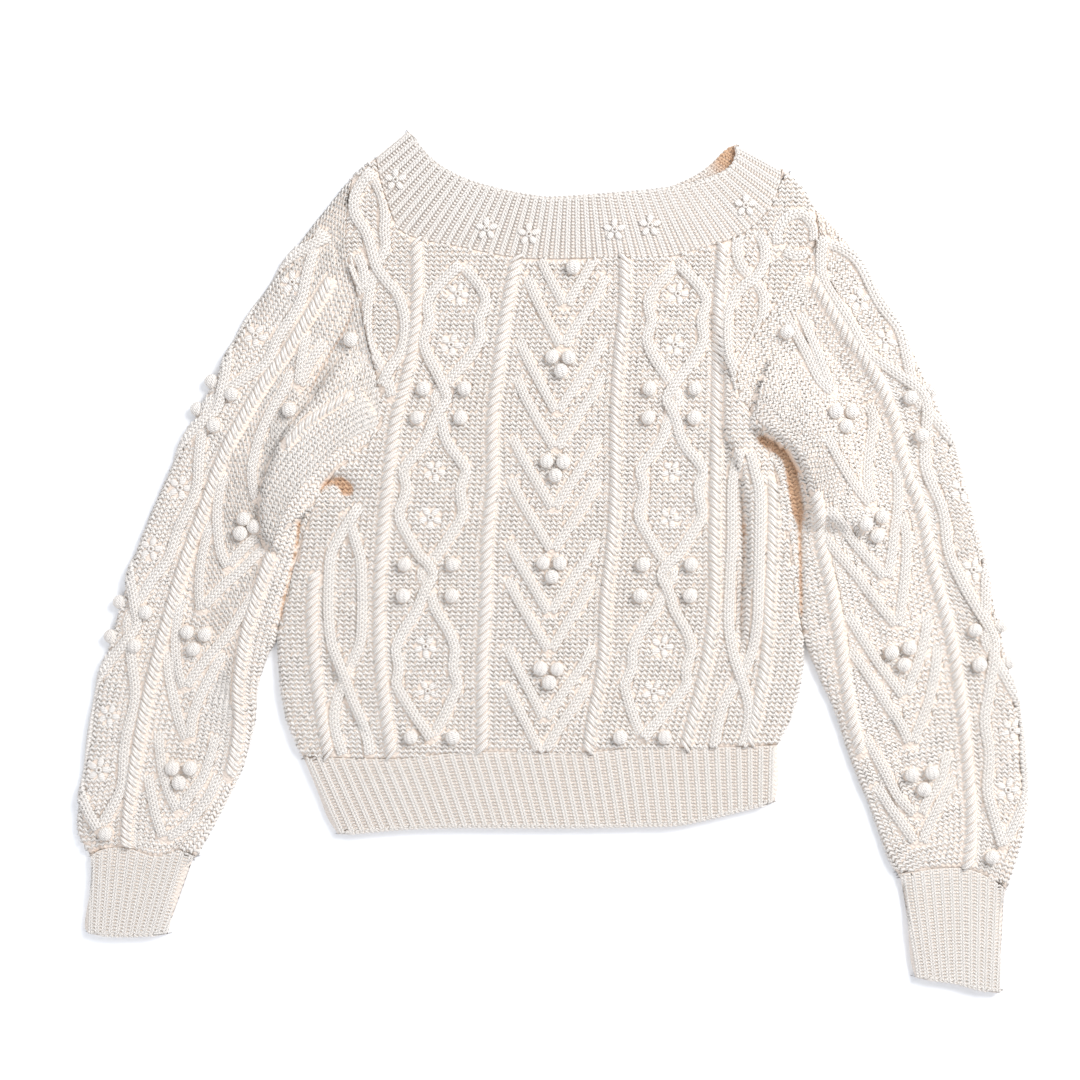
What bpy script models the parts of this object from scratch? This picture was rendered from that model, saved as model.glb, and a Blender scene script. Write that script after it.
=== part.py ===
"""Cable knit sweater in thick ivory wool, lying flat on its back with both sleeves down.

The knitted pieces are a front, a back, two sleeves, a ribbed neckband, a ribbed hem and two
ribbed cuffs. The front and the sleeves carry raised ropes, diamonds, chevrons, oblong cables,
flowers and bobbles over a plain inside, and every face that rests on the table is flat.
All sizes and plan places are millimetres, measured on the laid garment: X runs across the
chest, Y from the hem to the neck and Z up from the table.
"""

import math

import bmesh
import bpy
import numpy as np
from mathutils import Vector
from mathutils.geometry import delaunay_2d_cdt

MM = 0.001
WALL = 3.2              # thickness of the plain knitted ground
BACK_THICKNESS = 3.5    # the back panel lies on the table
SEAM_GAP = 0.3          # between neighbouring pieces
GROUND = 9.2            # top of the plain ground on the upper layer
INSIDE_TOP = 6.6        # under a fold the hidden layers share its solid, so the inside stays low
FOLD_HEIGHT = 5.0       # height of the crease where a tube turns under
SIDE_HEIGHT = 6.2       # top of the front where its side meets the back
FOLD_RADIUS = 12.0      # how far in from a folded side the cloth is still rounding over
TUCK = 2.5              # how far a folded side draws in down to the table
LEAST_HOLLOW = 0.4      # between the two layers of a tube, where they come nearest
CREASE_HEIGHT = 4.2     # of the inside of a tube's folded side
CLEAR = 3.0             # raised stitches stop this far short of a seam
SEAM_STEP = 11.5        # spacing of the points along seams and folded sides
GROUND_STEP = 32.0      # spacing of the loose points on plain ground
INSIDE_STEP = 34.0      # spacing of the points on the plain inside

ROPE = {"half_width": 6.0, "height": 4.6, "step": 19.0}
STRAND = {"half_width": 4.6, "height": 4.0, "step": 14.5}
CHEVRON = {"half_width": 4.1, "height": 3.6, "step": 13.5}
BOBBLE_RADIUS = 6.6
BOBBLE_HEIGHT = 9.6
EDGE_BOBBLE_HEIGHT = 6.7    # of the middle of a bobble that hangs on a sleeve's outer fold
FLOWER_REACH = 10.0
FLOWER_HEIGHT = 2.8
PETALS = 5

HEM_RIBS = 43
NECK_RIBS = 46
CUFF_RIBS = 12
RIB_HEIGHT = 1.3        # a knit rib stands this far over the middle of the fabric
# Cross rows of a ribbed band, from its free edge to its seam: closer where the neckband's flowers lie.
RIB_ROWS = (0.0, 0.33, 0.67, 1.0)
NECK_ROWS = (0.0, 0.3, 0.48, 0.61, 0.74, 0.87, 1.0)

WOOL = (0.83, 0.77, 0.69, 1.0)

CENTRE = (0.2, -0.97)   # the middle of the garment's plan box, which becomes the origin

# Wales of the body: x of each line of stitches at a height y.
BODY_COLUMNS = ("rope_0", "oblong_l", "rope_1", "rope_2", "rope_3", "rope_4", "oblong_r", "rope_5")
BODY_ROWS = (
    (300, -205, -162, -122, -26, 66, 156, 186, 205),
    (235, -205, -150, -121, -39, 66, 151, 172, 200),
    (181, -205, -152, -127, -47, 61, 150, 171, 200),
    (127, -205, -163, -140, -53, 58, 149, 172, 200),
    (73, -205, -176, -147, -53, 58, 148, 172, 200),
    (19, -208, -184, -152, -58, 55, 147, 172, 199),
    (-35, -215, -186, -155, -59, 49, 147, 173, 196),
    (-89, -213, -187, -154, -62, 47, 140, 169, 193),
    (-143, -206, -184, -148, -62, 37, 127, 158, 183),
    (-180, -199, -179, -143, -62, 32, 117, 149, 174),
)

# Wales of each sleeve: plan points of every line at a cross row, from the armhole to the cuff.
SLEEVE_COLUMNS = ("outer", "diamond", "rope_a", "chevron", "rope_b", "ground", "inner")
LEFT_SLEEVE_ROWS = (
    ((-179, 346), (-184, 314), (-184, 276), (-168, 210), (-156, 122), (-210, 58), (-246, -60)),
    ((-226, 286), (-226, 269), (-215, 226), (-194, 170), (-181, 109), (-215, 50), (-248, -68)),
    ((-267, 227), (-260, 212), (-237, 190), (-229, 136), (-210, 82), (-228, 37), (-250, -74)),
    ((-296, 176), (-284, 170), (-255, 152), (-251, 91), (-235, 50), (-242, 14), (-255, -82)),
    ((-328, 113), (-313, 113), (-284, 100), (-271, 46), (-251, 10), (-251, -26), (-260, -94)),
    ((-356, 52), (-338, 46), (-310, 46), (-287, 1), (-266, -35), (-260, -62), (-266, -116)),
    ((-376, 0), (-359, -4), (-329, -4), (-302, -35), (-276, -71), (-270, -94), (-267, -131)),
    ((-395, -67), (-378, -62), (-348, -62), (-317, -71), (-282, -116), (-275, -127), (-268, -145)),
    ((-409, -119), (-394, -121), (-364, -125), (-328, -130), (-281, -145), (-276, -152), (-272, -161)),
    ((-420, -193), (-405, -193), (-381, -193), (-331, -190), (-290, -193), (-285, -193), (-281, -191)),
    ((-427, -240), (-407, -242), (-382, -240), (-341, -242), (-314, -238), (-308, -237), (-302, -233)),
    ((-416, -266), (-403, -259), (-382, -258), (-356, -266), (-336, -260), (-328, -262), (-320, -266)),
)
RIGHT_SLEEVE_ROWS = (
    ((238, 318), (240, 291), (227, 266), (202, 230), (166, 163), (197, 98), (227, -65)),
    ((265, 289), (256, 269), (237, 237), (218, 199), (193, 140), (213, 86), (230, -72)),
    ((298, 238), (285, 219), (258, 201), (238, 170), (213, 118), (224, 59), (233, -81)),
    ((323, 194), (312, 179), (285, 165), (256, 141), (228, 89), (231, 26), (238, -92)),
    ((348, 140), (338, 136), (308, 129), (266, 112), (237, 55), (236, -13), (243, -104)),
    ((364, 98), (348, 93), (317, 89), (279, 66), (243, 14), (241, -44), (248, -116)),
    ((379, 46), (364, 41), (333, 44), (292, 14), (251, -22), (248, -73), (255, -130)),
    ((391, -4), (380, -13), (343, -5), (303, -33), (258, -62), (258, -100), (262, -150)),
    ((404, -62), (395, -71), (359, -67), (311, -85), (266, -116), (269, -143), (270, -175)),
    ((420, -130), (407, -132), (369, -130), (320, -136), (275, -159), (278, -179), (281, -204)),
    ((426, -184), (411, -186), (375, -184), (328, -192), (292, -204), (291, -212), (288, -220)),
    ((426, -242), (408, -242), (378, -238), (331, -249), (312, -256), (308, -258), (303, -263)),
    ((411, -296), (400, -288), (375, -277), (345, -277), (328, -280), (320, -281), (313, -282)),
)

# Outline stretches that are no wale of the tables above.
NECK_EDGE = ((-129, 388), (-107, 362), (-81, 346), (-50, 336), (-15, 329), (6, 328), (50, 331),
             (94, 335), (125, 340), (145, 346), (159, 353), (166, 363), (165, 376))
BACK_NECK_EDGE = ((-129, 388), (-107, 357), (-81, 341), (-50, 331), (-15, 325), (6, 324), (50, 327),
                  (94, 334), (125, 345), (145, 358), (156, 369), (165, 376))
NECK_SEAM = ((-158, 364), (-153, 341), (-145, 316), (-135, 297), (-113, 289), (-86, 284), (-37, 274),
             (-4, 272), (50, 273), (104, 274), (126, 279), (170, 293), (193, 313), (202, 327), (209, 354))
LEFT_SHOULDER = ((-158, 364), (-179, 346))
RIGHT_SHOULDER = ((209, 354), (225, 337), (238, 318))
LEFT_SIDE = ((-246, -60), (-245, -87), (-242, -120), (-236, -148), (-224, -176))
RIGHT_SIDE = ((227, -65), (226, -99), (220, -129), (212, -150), (204, -166))
LEFT_NECK_FOLD = ((-129, 388), (-158, 364))
RIGHT_NECK_FOLD = ((165, 376), (185, 367), (209, 354))
HEM_SEAM = ((-224, -176), (-141, -178), (-75, -172), (32, -172), (76, -168), (134, -168), (204, -166))
HEM_EDGE = ((-192, -247), (-141, -242), (-94, -240), (-45, -240), (27, -240), (80, -239), (114, -238),
            (148, -231), (172, -225), (202, -218))
HEM_LEFT = ((-224, -176), (-211, -207), (-202, -231), (-192, -247))
HEM_RIGHT = ((204, -166), (205, -188), (205, -202), (202, -218))
LEFT_CUFF_OUTER = ((-416, -266), (-414, -276), (-415, -294), (-419, -314), (-421, -330), (-418, -336))
LEFT_CUFF_INNER = ((-320, -266), (-328, -273), (-334, -283), (-339, -299), (-343, -319), (-346, -337))
LEFT_CUFF_EDGE = ((-418, -336), (-388, -338), (-346, -337))
RIGHT_CUFF_OUTER = ((411, -296), (406, -310), (404, -332), (405, -359), (406, -390))
RIGHT_CUFF_INNER = ((313, -282), (320, -295), (322, -310), (323, -336), (325, -361), (329, -376))
RIGHT_CUFF_EDGE = ((329, -376), (362, -380), (384, -386), (406, -390))

# Diamonds between two ropes: heights where a diamond opens, is full, starts to close and shuts.
DIAMONDS = ((268, 239, 203, 157), (115, 85, 50, 8), (-40, -72, -106, -157))
DIAMOND_SWING = 0.33    # of the space between its two ropes
# Oblong cables: heights where the two strands cross, are apart, and cross again.
OBLONGS = ((262, 245, 190, 172), (172, 150, 120, 100), (100, 75, 40, 20), (20, -10, -88, -108),
           (-108, -125, -150, -168))
OBLONG_SWING = 12.5

CHEVRON_TIPS = (236, 205, 141, 104, 51, 13, -38, -72, -135, -166)
CHEVRON_RISE = 64
BODY_BOBBLE_ROWS = (155, 129, -3, -31, -157)    # pairs beside each twist of the diamonds
BOBBLE_SPREAD = 0.215                           # of the space between the two ropes
BODY_TRIPLES = (178, 87, -5, -101)
SINGLE_BOBBLE = (20, 264)
BODY_FLOWER_ROWS = (241, 195, 81, 39, -77, -116)
TRIPLE_SPOTS = ((-7.0, 3.5), (7.5, 3.0), (0.5, -9.5))

# Each sleeve: the places of its bobbles, chevron tips, flowers and diamond twists.
LEFT_BOBBLES = ((-180, 199), (-287, 150), (-303, 122), (-364, -46), (-374, -76), (-400, -245))
LEFT_EDGE_BOBBLES = ((-306, 162), (-319, 137), (-389, -37), (-397, -68))
LEFT_TRIPLES = ((-231, 130), (-273, 34), (-319, -70), (-331, -190))
LEFT_TIPS = ((-226, 158), (-255, 100), (-260, 73), (-291, 1), (-302, -26), (-322, -110), (-330, -160),
             (-337, -215), (-344, -250))
LEFT_FLOWERS = ((-233, 251), (-266, 203), (-338, 64), (-363, 10), (-398, -139), (-407, -188))
LEFT_TWISTS = ((-194, 318), (-303, 143), (-381, -57), (-404, -247))
RIGHT_BOBBLES = ((323, 147), (330, 112), (381, -62), (385, -93), (396, -266))
RIGHT_EDGE_BOBBLES = ((343, 154), (355, 123), (406, -58), (413, -91))
RIGHT_TRIPLES = ((262, 131), (287, 33), (312, -85), (330, -196))
RIGHT_TIPS = ((269, 100), (280, 66), (301, -17), (306, -59), (319, -125), (325, -163), (329, -229),
              (332, -260))
RIGHT_FLOWERS = ((278, 235), (301, 199), (370, 64), (380, -8), (415, -152), (411, -206))
RIGHT_TWISTS = ((240, 291), (338, 134), (397, -75), (402, -268))
SLEEVE_SWING = 20.0
SLEEVE_RISE = 72
BAND_FLOWERS = ((-140, 343), (-58, 299), (-20, 294), (57, 298), (89, 302), (175, 320))

# Folds of the laid cloth: the crest, its rise, and its width towards the body and the sleeve.
FOLDS = (
    {"crest": ((-176, 200), (-169, 158), (-172, 122), (-190, 95), (-222, 72)),
     "rise": 14.0, "body_width": 17.0, "sleeve_width": 46.0},
    {"crest": ((-249, 62), (-246, 28), (-243, -6)), "rise": 7.0, "body_width": 9.0, "sleeve_width": 20.0},
    {"crest": ((226, 96), (202, 110), (179, 124), (168, 154), (167, 194), (172, 245)),
     "rise": 15.0, "body_width": 15.0, "sleeve_width": 52.0},
)
# Creases where the cloth sinks between folds: the line, its depth and its half width.
CREASES = (
    {"line": ((-199, 226), (-215, 190), (-219, 149), (-235, 113)), "depth": 2.6, "half_width": 15.0},
    {"line": ((-239, 100), (-255, 73), (-260, 46), (-261, 21)), "depth": 3.0, "half_width": 13.0},
    {"line": ((238, 217), (256, 185), (271, 154), (279, 118), (280, 75)), "depth": 2.6, "half_width": 14.0},
    {"line": ((-222, 45), (-236, 0), (-246, -60)), "depth": 3.0, "half_width": 9.0},
    {"line": ((216, 92), (224, 20), (227, -65)), "depth": 3.0, "half_width": 9.0},
)


def catmull(points, at):
    """Points of a smooth curve through the given points, at fractional places along the list."""
    points = np.asarray(points, float)
    ahead = 2 * points[0] - points[1]
    beyond = 2 * points[-1] - points[-2]
    padded = np.concatenate([ahead[None], points, beyond[None]])
    at = np.clip(np.asarray(at, float), 0, len(points) - 1)
    first = np.minimum(at.astype(int), len(points) - 2)
    t = (at - first).reshape((-1,) + (1,) * (points.ndim - 1))
    p0, p1, p2, p3 = (padded[first + k] for k in range(4))
    return 0.5 * (2 * p1 + (p2 - p0) * t + (2 * p0 - 5 * p1 + 4 * p2 - p3) * t * t
                  + (3 * p1 - p0 - 3 * p2 + p3) * t ** 3)


def arc_lengths(line):
    """Distance along a polyline to each of its points."""
    return np.concatenate([[0.0], np.cumsum(np.linalg.norm(np.diff(line, axis=0), axis=1))])


def resample(line, count):
    """The polyline redrawn with count + 1 evenly spaced points."""
    run = arc_lengths(line)
    wanted = np.linspace(0, run[-1], count + 1)
    return np.column_stack([np.interp(wanted, run, line[:, k]) for k in range(2)])


def smooth_line(points, count=None, step=SEAM_STEP):
    """An evenly spaced smooth line through a few points, in count stretches or by a step."""
    fine = catmull(points, np.linspace(0, len(points) - 1, 20 * len(points)))
    if count is None:
        count = max(1, round(arc_lengths(fine)[-1] / step))
    return resample(fine, count)


def normals_of(line):
    """The unit normal on the left of the way the line runs, at each of its points."""
    run = np.gradient(line, axis=0)
    run /= np.linalg.norm(run, axis=1)[:, None]
    return np.column_stack([-run[:, 1], run[:, 0]])


def nearest_on(points, line):
    """Distance to a polyline, the side (1 on its left) and the place along it from 0 to 1."""
    line = np.asarray(line, float)
    run = arc_lengths(line)
    best = np.full(len(points), np.inf)
    side = np.ones(len(points))
    place = np.zeros(len(points))
    for k in range(len(line) - 1):
        way = line[k + 1] - line[k]
        length = np.linalg.norm(way)
        offset = points - line[k]
        along = np.clip(offset @ way / length ** 2, 0, 1)
        apart = np.linalg.norm(offset - along[:, None] * way, axis=1)
        closer = apart < best
        best = np.where(closer, apart, best)
        turn = np.sign(way[0] * offset[:, 1] - way[1] * offset[:, 0])
        side = np.where(closer, turn, side)
        place = np.where(closer, (run[k] + along * length) / run[-1], place)
    return best, side, place


def eased(share):
    """A smooth step from 0 to 1."""
    share = np.clip(share, 0, 1)
    return share * share * (3 - 2 * share)


def inside_polygon(points, polygon):
    """Whether each point lies inside a closed polygon."""
    found = np.zeros(len(points), bool)
    ends = np.roll(polygon, -1, axis=0)
    for (ax, ay), (bx, by) in zip(polygon, ends):
        spans = (ay > points[:, 1]) != (by > points[:, 1])
        with np.errstate(divide="ignore", invalid="ignore"):
            cut = ax + (points[:, 1] - ay) * (bx - ax) / (by - ay)
        found ^= spans & (points[:, 0] < cut)
    return found


class Chart:
    """Plan places on a knitted piece, by its cross row and by its line of stitches."""

    def __init__(self, columns, rows):
        self.columns = {name: k for k, name in enumerate(columns)}
        self.rows = np.asarray(rows, float)

    def line(self, column, first=0.0, last=None, steps=60):
        """The plan line of one column of stitches, by name or by fractional place."""
        last = len(self.rows) - 1 if last is None else last
        place = self.columns[column] if isinstance(column, str) else column
        across = catmull(self.rows.transpose(1, 0, 2), [place])[0]
        return catmull(across, np.linspace(first, last, steps))

    def at(self, row, column):
        """The plan point at a fractional row and column."""
        return catmull(catmull(self.rows.transpose(1, 0, 2), [column])[0], [row])[0]

    def row_near(self, column, point):
        """The fractional row where a column of stitches passes nearest to a point."""
        steps = 40 * len(self.rows)
        line = self.line(column, steps=steps)
        nearest = np.argmin(np.linalg.norm(line - np.asarray(point, float), axis=1))
        return nearest * (len(self.rows) - 1) / (steps - 1)


def body_chart():
    """The body's wales as plan points."""
    rows = [[(x, row[0]) for x in row[1:]] for row in BODY_ROWS]
    return Chart(BODY_COLUMNS, rows)


class Relief:
    """The raised stitches of one piece: strands, bobbles and flowers."""

    def __init__(self):
        self.strands = []
        self.bobbles = []
        self.flowers = []

    def strand(self, points, kind):
        """Add a raised strand along a smooth line."""
        fine = smooth_line(points, step=kind["step"] / 3)
        self.strands.append((fine, kind))

    def rise(self, points):
        """How far the raised stitches stand over the ground at each point."""
        top = np.zeros(len(points))
        for line, kind in self.strands:
            apart = nearest_on(points, line)[0] / kind["half_width"]
            top = np.maximum(top, kind["height"] * np.sqrt(np.clip(1 - apart ** 2, 0, 1)))
        for spot in self.bobbles:
            apart = np.linalg.norm(points - spot, axis=1) / BOBBLE_RADIUS
            top = np.maximum(top, BOBBLE_HEIGHT * np.sqrt(np.clip(1 - apart ** 2, 0, 1)))
        for spot in self.flowers:
            offset = points - spot
            apart = np.linalg.norm(offset, axis=1) / FLOWER_REACH
            lobe = 0.5 + 0.5 * np.cos(PETALS * np.arctan2(offset[:, 1], offset[:, 0]))
            petal = np.clip(1 - apart, 0, 1) * (0.35 + 0.65 * lobe) * 2
            top = np.maximum(top, FLOWER_HEIGHT * np.clip(petal, 0, 1))
        return top

    def spot_points(self):
        """The plan points that draw the bobbles and flowers."""
        found = []
        for spot in self.bobbles:
            found += [spot[None], spot + ring(0.6 * BOBBLE_RADIUS, 6), spot + ring(1.03 * BOBBLE_RADIUS, 9)]
        for spot in self.flowers:
            found += [spot[None], spot + ring(0.55 * FLOWER_REACH, 2 * PETALS),
                      spot + ring(FLOWER_REACH, PETALS)]
        return np.vstack(found)

    def strand_points(self):
        """The plan points that draw the strands: their crests first, then both their feet."""
        crests = []
        feet = []
        for line, kind in self.strands:
            crest = resample(line, max(1, round(arc_lengths(line)[-1] / kind["step"])))
            crests.append(crest)
            if len(crest) > 2:
                sideways = normals_of(crest) * kind["half_width"]
                feet += [crest + sideways, crest - sideways]
        return np.vstack(crests + feet)


def ring(radius, count):
    """Evenly spaced points of a circle."""
    turn = np.arange(count) * 2 * math.pi / count
    return radius * np.column_stack([np.cos(turn), np.sin(turn)])


def body_relief():
    """Ropes, diamonds, oblong cables, chevrons, flowers and bobbles of the front."""
    chart = body_chart()
    relief = Relief()
    heights = chart.rows[:, 0, 1]

    def spot(column, y):
        return chart.at(np.interp(-y, -heights, np.arange(len(heights))), column)

    for name in BODY_COLUMNS:
        if name.startswith("rope"):
            relief.strand(chart.line(name), ROPE)
    for left in ("rope_1", "rope_3"):
        first = chart.columns[left]
        for sign in (-1, 1):
            line = []
            for opens, full, closes, shuts in DIAMONDS:
                for y, share in ((opens, 0.12), (full, 1.0), (closes, 1.0), (shuts, 0.12)):
                    line.append(spot(first + 0.5 + sign * share * DIAMOND_SWING, y))
            relief.strand(line, STRAND)
        for y in BODY_BOBBLE_ROWS:
            relief.bobbles += [spot(first + 0.5 + sign * BOBBLE_SPREAD, y) for sign in (-1, 1)]
        relief.flowers += [spot(first + 0.5, y) for y in BODY_FLOWER_ROWS]
    for name in ("oblong_l", "oblong_r"):
        for sign in (-1, 1):
            line = []
            for opens, full, closes, shuts in OBLONGS:
                for y, share in ((opens, 0.3), (full, 1.0), (closes, 1.0), (shuts, 0.3)):
                    line.append(spot(chart.columns[name], y) + (sign * share * OBLONG_SWING, 0))
            relief.strand(line, STRAND)
    tip = chart.columns["rope_2"] + 0.5
    for y in CHEVRON_TIPS:
        for sign in (-1, 1):
            arm = [spot(tip + sign * share * 0.5, y + share * CHEVRON_RISE) for share in (0.06, 0.45, 0.84)]
            relief.strand(arm, CHEVRON)
    for y in BODY_TRIPLES:
        relief.bobbles += [spot(tip, y) + place for place in TRIPLE_SPOTS]
    relief.bobbles.append(np.array(SINGLE_BOBBLE, float))
    return relief


def sleeve_relief(rows, bobbles, triples, tips, flowers, twists):
    """Ropes, the diamonds along the outer fold, chevrons, flowers and bobbles of a sleeve."""
    chart = Chart(SLEEVE_COLUMNS, rows)
    relief = Relief()
    for name in ("rope_a", "rope_b"):
        relief.strand(chart.line(name, 0.4 if name == "rope_a" else 2.0), ROPE)
    middle = chart.line("diamond", steps=400)
    normals = normals_of(middle)
    marks = [np.argmin(np.linalg.norm(middle - twist, axis=1)) for twist in np.asarray(twists, float)]
    for sign in (-1, 1):
        line = []
        for first, last in zip(marks, marks[1:]):
            for part, share in ((0.04, 0.15), (0.26, 1.0), (0.5, 1.05), (0.74, 1.0), (0.96, 0.15)):
                k = round(first + (last - first) * part)
                line.append(middle[k] + sign * share * SLEEVE_SWING * normals[k])
        relief.strand(line, STRAND)
    tip = chart.columns["chevron"]
    for place in tips:
        row = chart.row_near("chevron", place)
        above = chart.row_near("chevron", np.asarray(place) + (0, SLEEVE_RISE))
        for sign in (-1, 1):
            arm = [chart.at(row + (above - row) * share, tip + sign * share) for share in (0.06, 0.42, 0.78)]
            relief.strand(arm, CHEVRON)
    relief.bobbles += [np.array(place, float) for place in bobbles]
    for place in triples:
        relief.bobbles += [np.array(place) + np.array(spot) for spot in TRIPLE_SPOTS]
    relief.flowers += [np.array(place, float) for place in flowers]
    return relief


def fold_rise(points):
    """How far the folds lift the cloth, less what the creases sink, at each point."""
    rise = np.zeros(len(points))
    for fold in FOLDS:
        apart, side, place = nearest_on(points, smooth_line(fold["crest"], step=6))
        width = np.where(side > 0, fold["body_width"], fold["sleeve_width"])
        share = np.cos(np.clip(apart / width, 0, 1) * math.pi / 2) ** 2
        rise = np.maximum(rise, fold["rise"] * share * eased(place / 0.28) * eased((1 - place) / 0.28))
    for crease in CREASES:
        apart = nearest_on(points, smooth_line(crease["line"], step=8))[0]
        rise -= crease["depth"] * np.clip(1 - apart / crease["half_width"], 0, 1) ** 2
    return rise


class Outline:
    """A piece's closed plan outline, anticlockwise, in stretches that are seams or folds."""

    def __init__(self, stretches):
        self.ranges = []
        self.folds = [line for kind, line in stretches if kind == "fold"]
        drawn = [line.copy() if kind == "fold" else line + normals_of(line) * SEAM_GAP / 2
                 for kind, line in stretches]
        points = []
        folded = []
        for k, (kind, _) in enumerate(stretches):
            line = drawn[k]
            if kind == "fold":
                line[0] = drawn[k - 1][-1]
            self.ranges.append((kind, len(points), len(line) - 1))
            points += list(line[:-1])
            folded += [kind == "fold"] * (len(line) - 1)
        self.points = np.array(points)
        # A fold's last point opens the seam that follows, so it counts as folded too.
        for kind, first, count in self.ranges:
            if kind == "fold":
                folded[(first + count) % len(points)] = True
        self.folded = np.array(folded)

    def drawn_in(self, distance):
        """The outline with its folded sides moved inwards and its seams kept in their lines."""
        points = self.points
        total = len(points)
        before = np.roll(points, 1, axis=0)
        after = np.roll(points, -1, axis=0)
        way = after - before
        way /= np.linalg.norm(way, axis=1)[:, None]
        moved = points + distance * np.column_stack([-way[:, 1], way[:, 0]]) * self.folded[:, None]
        for kind, first, count in self.ranges:
            if kind != "fold":
                continue
            last = (first + count) % total
            for corner, neighbour in ((first, (first - 1) % total), (last, (last + 1) % total)):
                if not self.folded[neighbour]:
                    way = points[neighbour] - points[corner]
                    moved[corner] = points[corner] + distance * way / np.linalg.norm(way)
        return moved


def spread(taken, candidates, gap):
    """The points already taken and the candidates, in order, that keep at least a gap from them."""
    kept = np.zeros((len(taken) + len(candidates), 2))
    kept[:len(taken)] = taken
    count = len(taken)
    for point in candidates:
        if not count or np.min(np.sum((kept[:count] - point) ** 2, axis=1)) >= gap * gap:
            kept[count] = point
            count += 1
    return kept[:count]


def loose_grid(outline, step):
    """Staggered points over an outline's box."""
    low, high = outline.min(axis=0), outline.max(axis=0)
    rows = np.arange(low[1], high[1], step * 0.87)
    found = []
    for k, y in enumerate(rows):
        xs = np.arange(low[0] + (k % 2) * step / 2, high[0], step)
        found += [(x, y) for x in xs]
    return np.array(found)


def fold_guides():
    """Plan points that let the cloth follow the folds."""
    found = []
    for fold in FOLDS:
        crest = smooth_line(fold["crest"], step=12)
        side = normals_of(crest)
        found += [crest, crest + side * fold["body_width"] * 0.5, crest + side * fold["body_width"],
                  crest - side * fold["sleeve_width"] * 0.5, crest - side * fold["sleeve_width"]]
    return np.vstack(found)


def crease_guides():
    """Plan points that let the cloth follow the creases."""
    found = []
    for crease in CREASES:
        line = smooth_line(crease["line"], step=14)
        side = normals_of(line) * crease["half_width"]
        found += [line, line + side, line - side]
    return np.vstack(found)


def side_guides(folds):
    """Plan points that round the cloth over beside its folded sides."""
    found = []
    for line in folds:
        coarse = resample(line, max(1, round(arc_lengths(line)[-1] / 16)))
        for depth in (0.33, 1.0):
            found.append(coarse + normals_of(coarse) * FOLD_RADIUS * depth)
    return np.vstack(found) if found else np.zeros((0, 2))


def kept_inside(candidates, polygon, clear):
    """The candidates that lie inside a polygon and clear of its sides."""
    candidates = np.asarray(candidates, float)
    closed = np.vstack([polygon, polygon[:1]])
    good = inside_polygon(candidates, polygon) & (nearest_on(candidates, closed)[0] > clear)
    return candidates[good]


def triangulated(polygon, inner):
    """Triangles over a polygon and its inner points: the points, the faces, the polygon's places."""
    points = [Vector(p) for p in np.vstack([polygon, inner])]
    found = delaunay_2d_cdt(points, [], [list(range(len(polygon)))], 0, 1e-4, True)
    place = {old: new for new, olds in enumerate(found[3]) for old in olds}
    flat = np.array([tuple(p) for p in found[0]])
    faces = np.array([tuple(face) for face in found[2]])
    inside = inside_polygon(flat[faces].mean(axis=1), polygon)
    return flat, [tuple(face) for face in faces[inside]], [place[k] for k in range(len(polygon))]


class Shell:
    """A closed mesh gathered from its faces."""

    def __init__(self):
        self.points = []
        self.faces = []

    def sheet(self, flat, heights, faces, upward):
        """Add a sheet of faces and give the place of its first point."""
        start = len(self.points)
        self.points += [(x, y, z) for (x, y), z in zip(flat, heights)]
        for face in faces:
            face = tuple(start + k for k in face)
            self.faces.append(face if upward else face[::-1])
        return start

    def band(self, first, second, closed=False):
        """Join two rows of points, of the same number or not, with a strip of triangles."""
        if closed:
            first, second = first + first[:1], second + second[:1]
        i = j = 0
        while i < len(first) - 1 or j < len(second) - 1:
            ahead = (i + 1) / (len(first) - 1) if i < len(first) - 1 else 2
            other = (j + 1) / (len(second) - 1) if j < len(second) - 1 else 2
            if ahead <= other:
                face = (first[i], first[i + 1], second[j])
                i += 1
            else:
                face = (first[i], second[j + 1], second[j])
                j += 1
            if len(set(face)) == 3:
                self.faces.append(face)

    def drop_loose_points(self):
        """Leave out the points that no face uses."""
        used = sorted({k for face in self.faces for k in face})
        renumber = {old: new for new, old in enumerate(used)}
        self.points = [self.points[k] for k in used]
        self.faces = [tuple(renumber[k] for k in face) for face in self.faces]

    def to_object(self, name):
        """Make the Blender object, in metres, with its faces turned outwards."""
        mesh = bpy.data.meshes.new(name)
        mesh.from_pydata([placed(*point) for point in self.points], [], self.faces)
        work = bmesh.new()
        work.from_mesh(mesh)
        bmesh.ops.recalc_face_normals(work, faces=work.faces)
        if work.calc_volume(signed=True) < 0:
            bmesh.ops.reverse_faces(work, faces=work.faces)
        bmesh.ops.triangulate(work, faces=[f for f in work.faces if len(f.verts) > 3])
        work.to_mesh(mesh)
        work.free()
        mesh.shade_smooth()
        mesh.set_sharp_from_angle(angle=math.radians(40))
        made = bpy.data.objects.new(name, mesh)
        bpy.context.scene.collection.objects.link(made)
        mesh.materials.append(wool(name))
        return made


def placed(x, y, z):
    """A plan place and height in the part's own frame, in metres."""
    return (x - CENTRE[0]) * MM, (y - CENTRE[1]) * MM, z * MM


def wool(name):
    """Ivory wool, matt and soft."""
    material = bpy.data.materials.new(name + "_wool")
    material.use_nodes = True
    shader = material.node_tree.nodes["Principled BSDF"]
    shader.inputs["Base Color"].default_value = WOOL
    shader.inputs["Roughness"].default_value = 0.9
    shader.inputs["Metallic"].default_value = 0.0
    return material


def upper_height(points, folds, side_height, relief=None):
    """Height of the upper layer's outer face at each plan point."""
    apart = np.full(len(points), np.inf)
    for line in folds:
        apart = np.minimum(apart, nearest_on(points, line)[0])
    share = np.clip(apart / FOLD_RADIUS, 0, 1)
    round_over = np.sqrt(1 - (1 - share) ** 2)
    height = side_height + (GROUND - side_height) * round_over + fold_rise(points) * round_over
    return height + relief.rise(points) if relief else height


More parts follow.
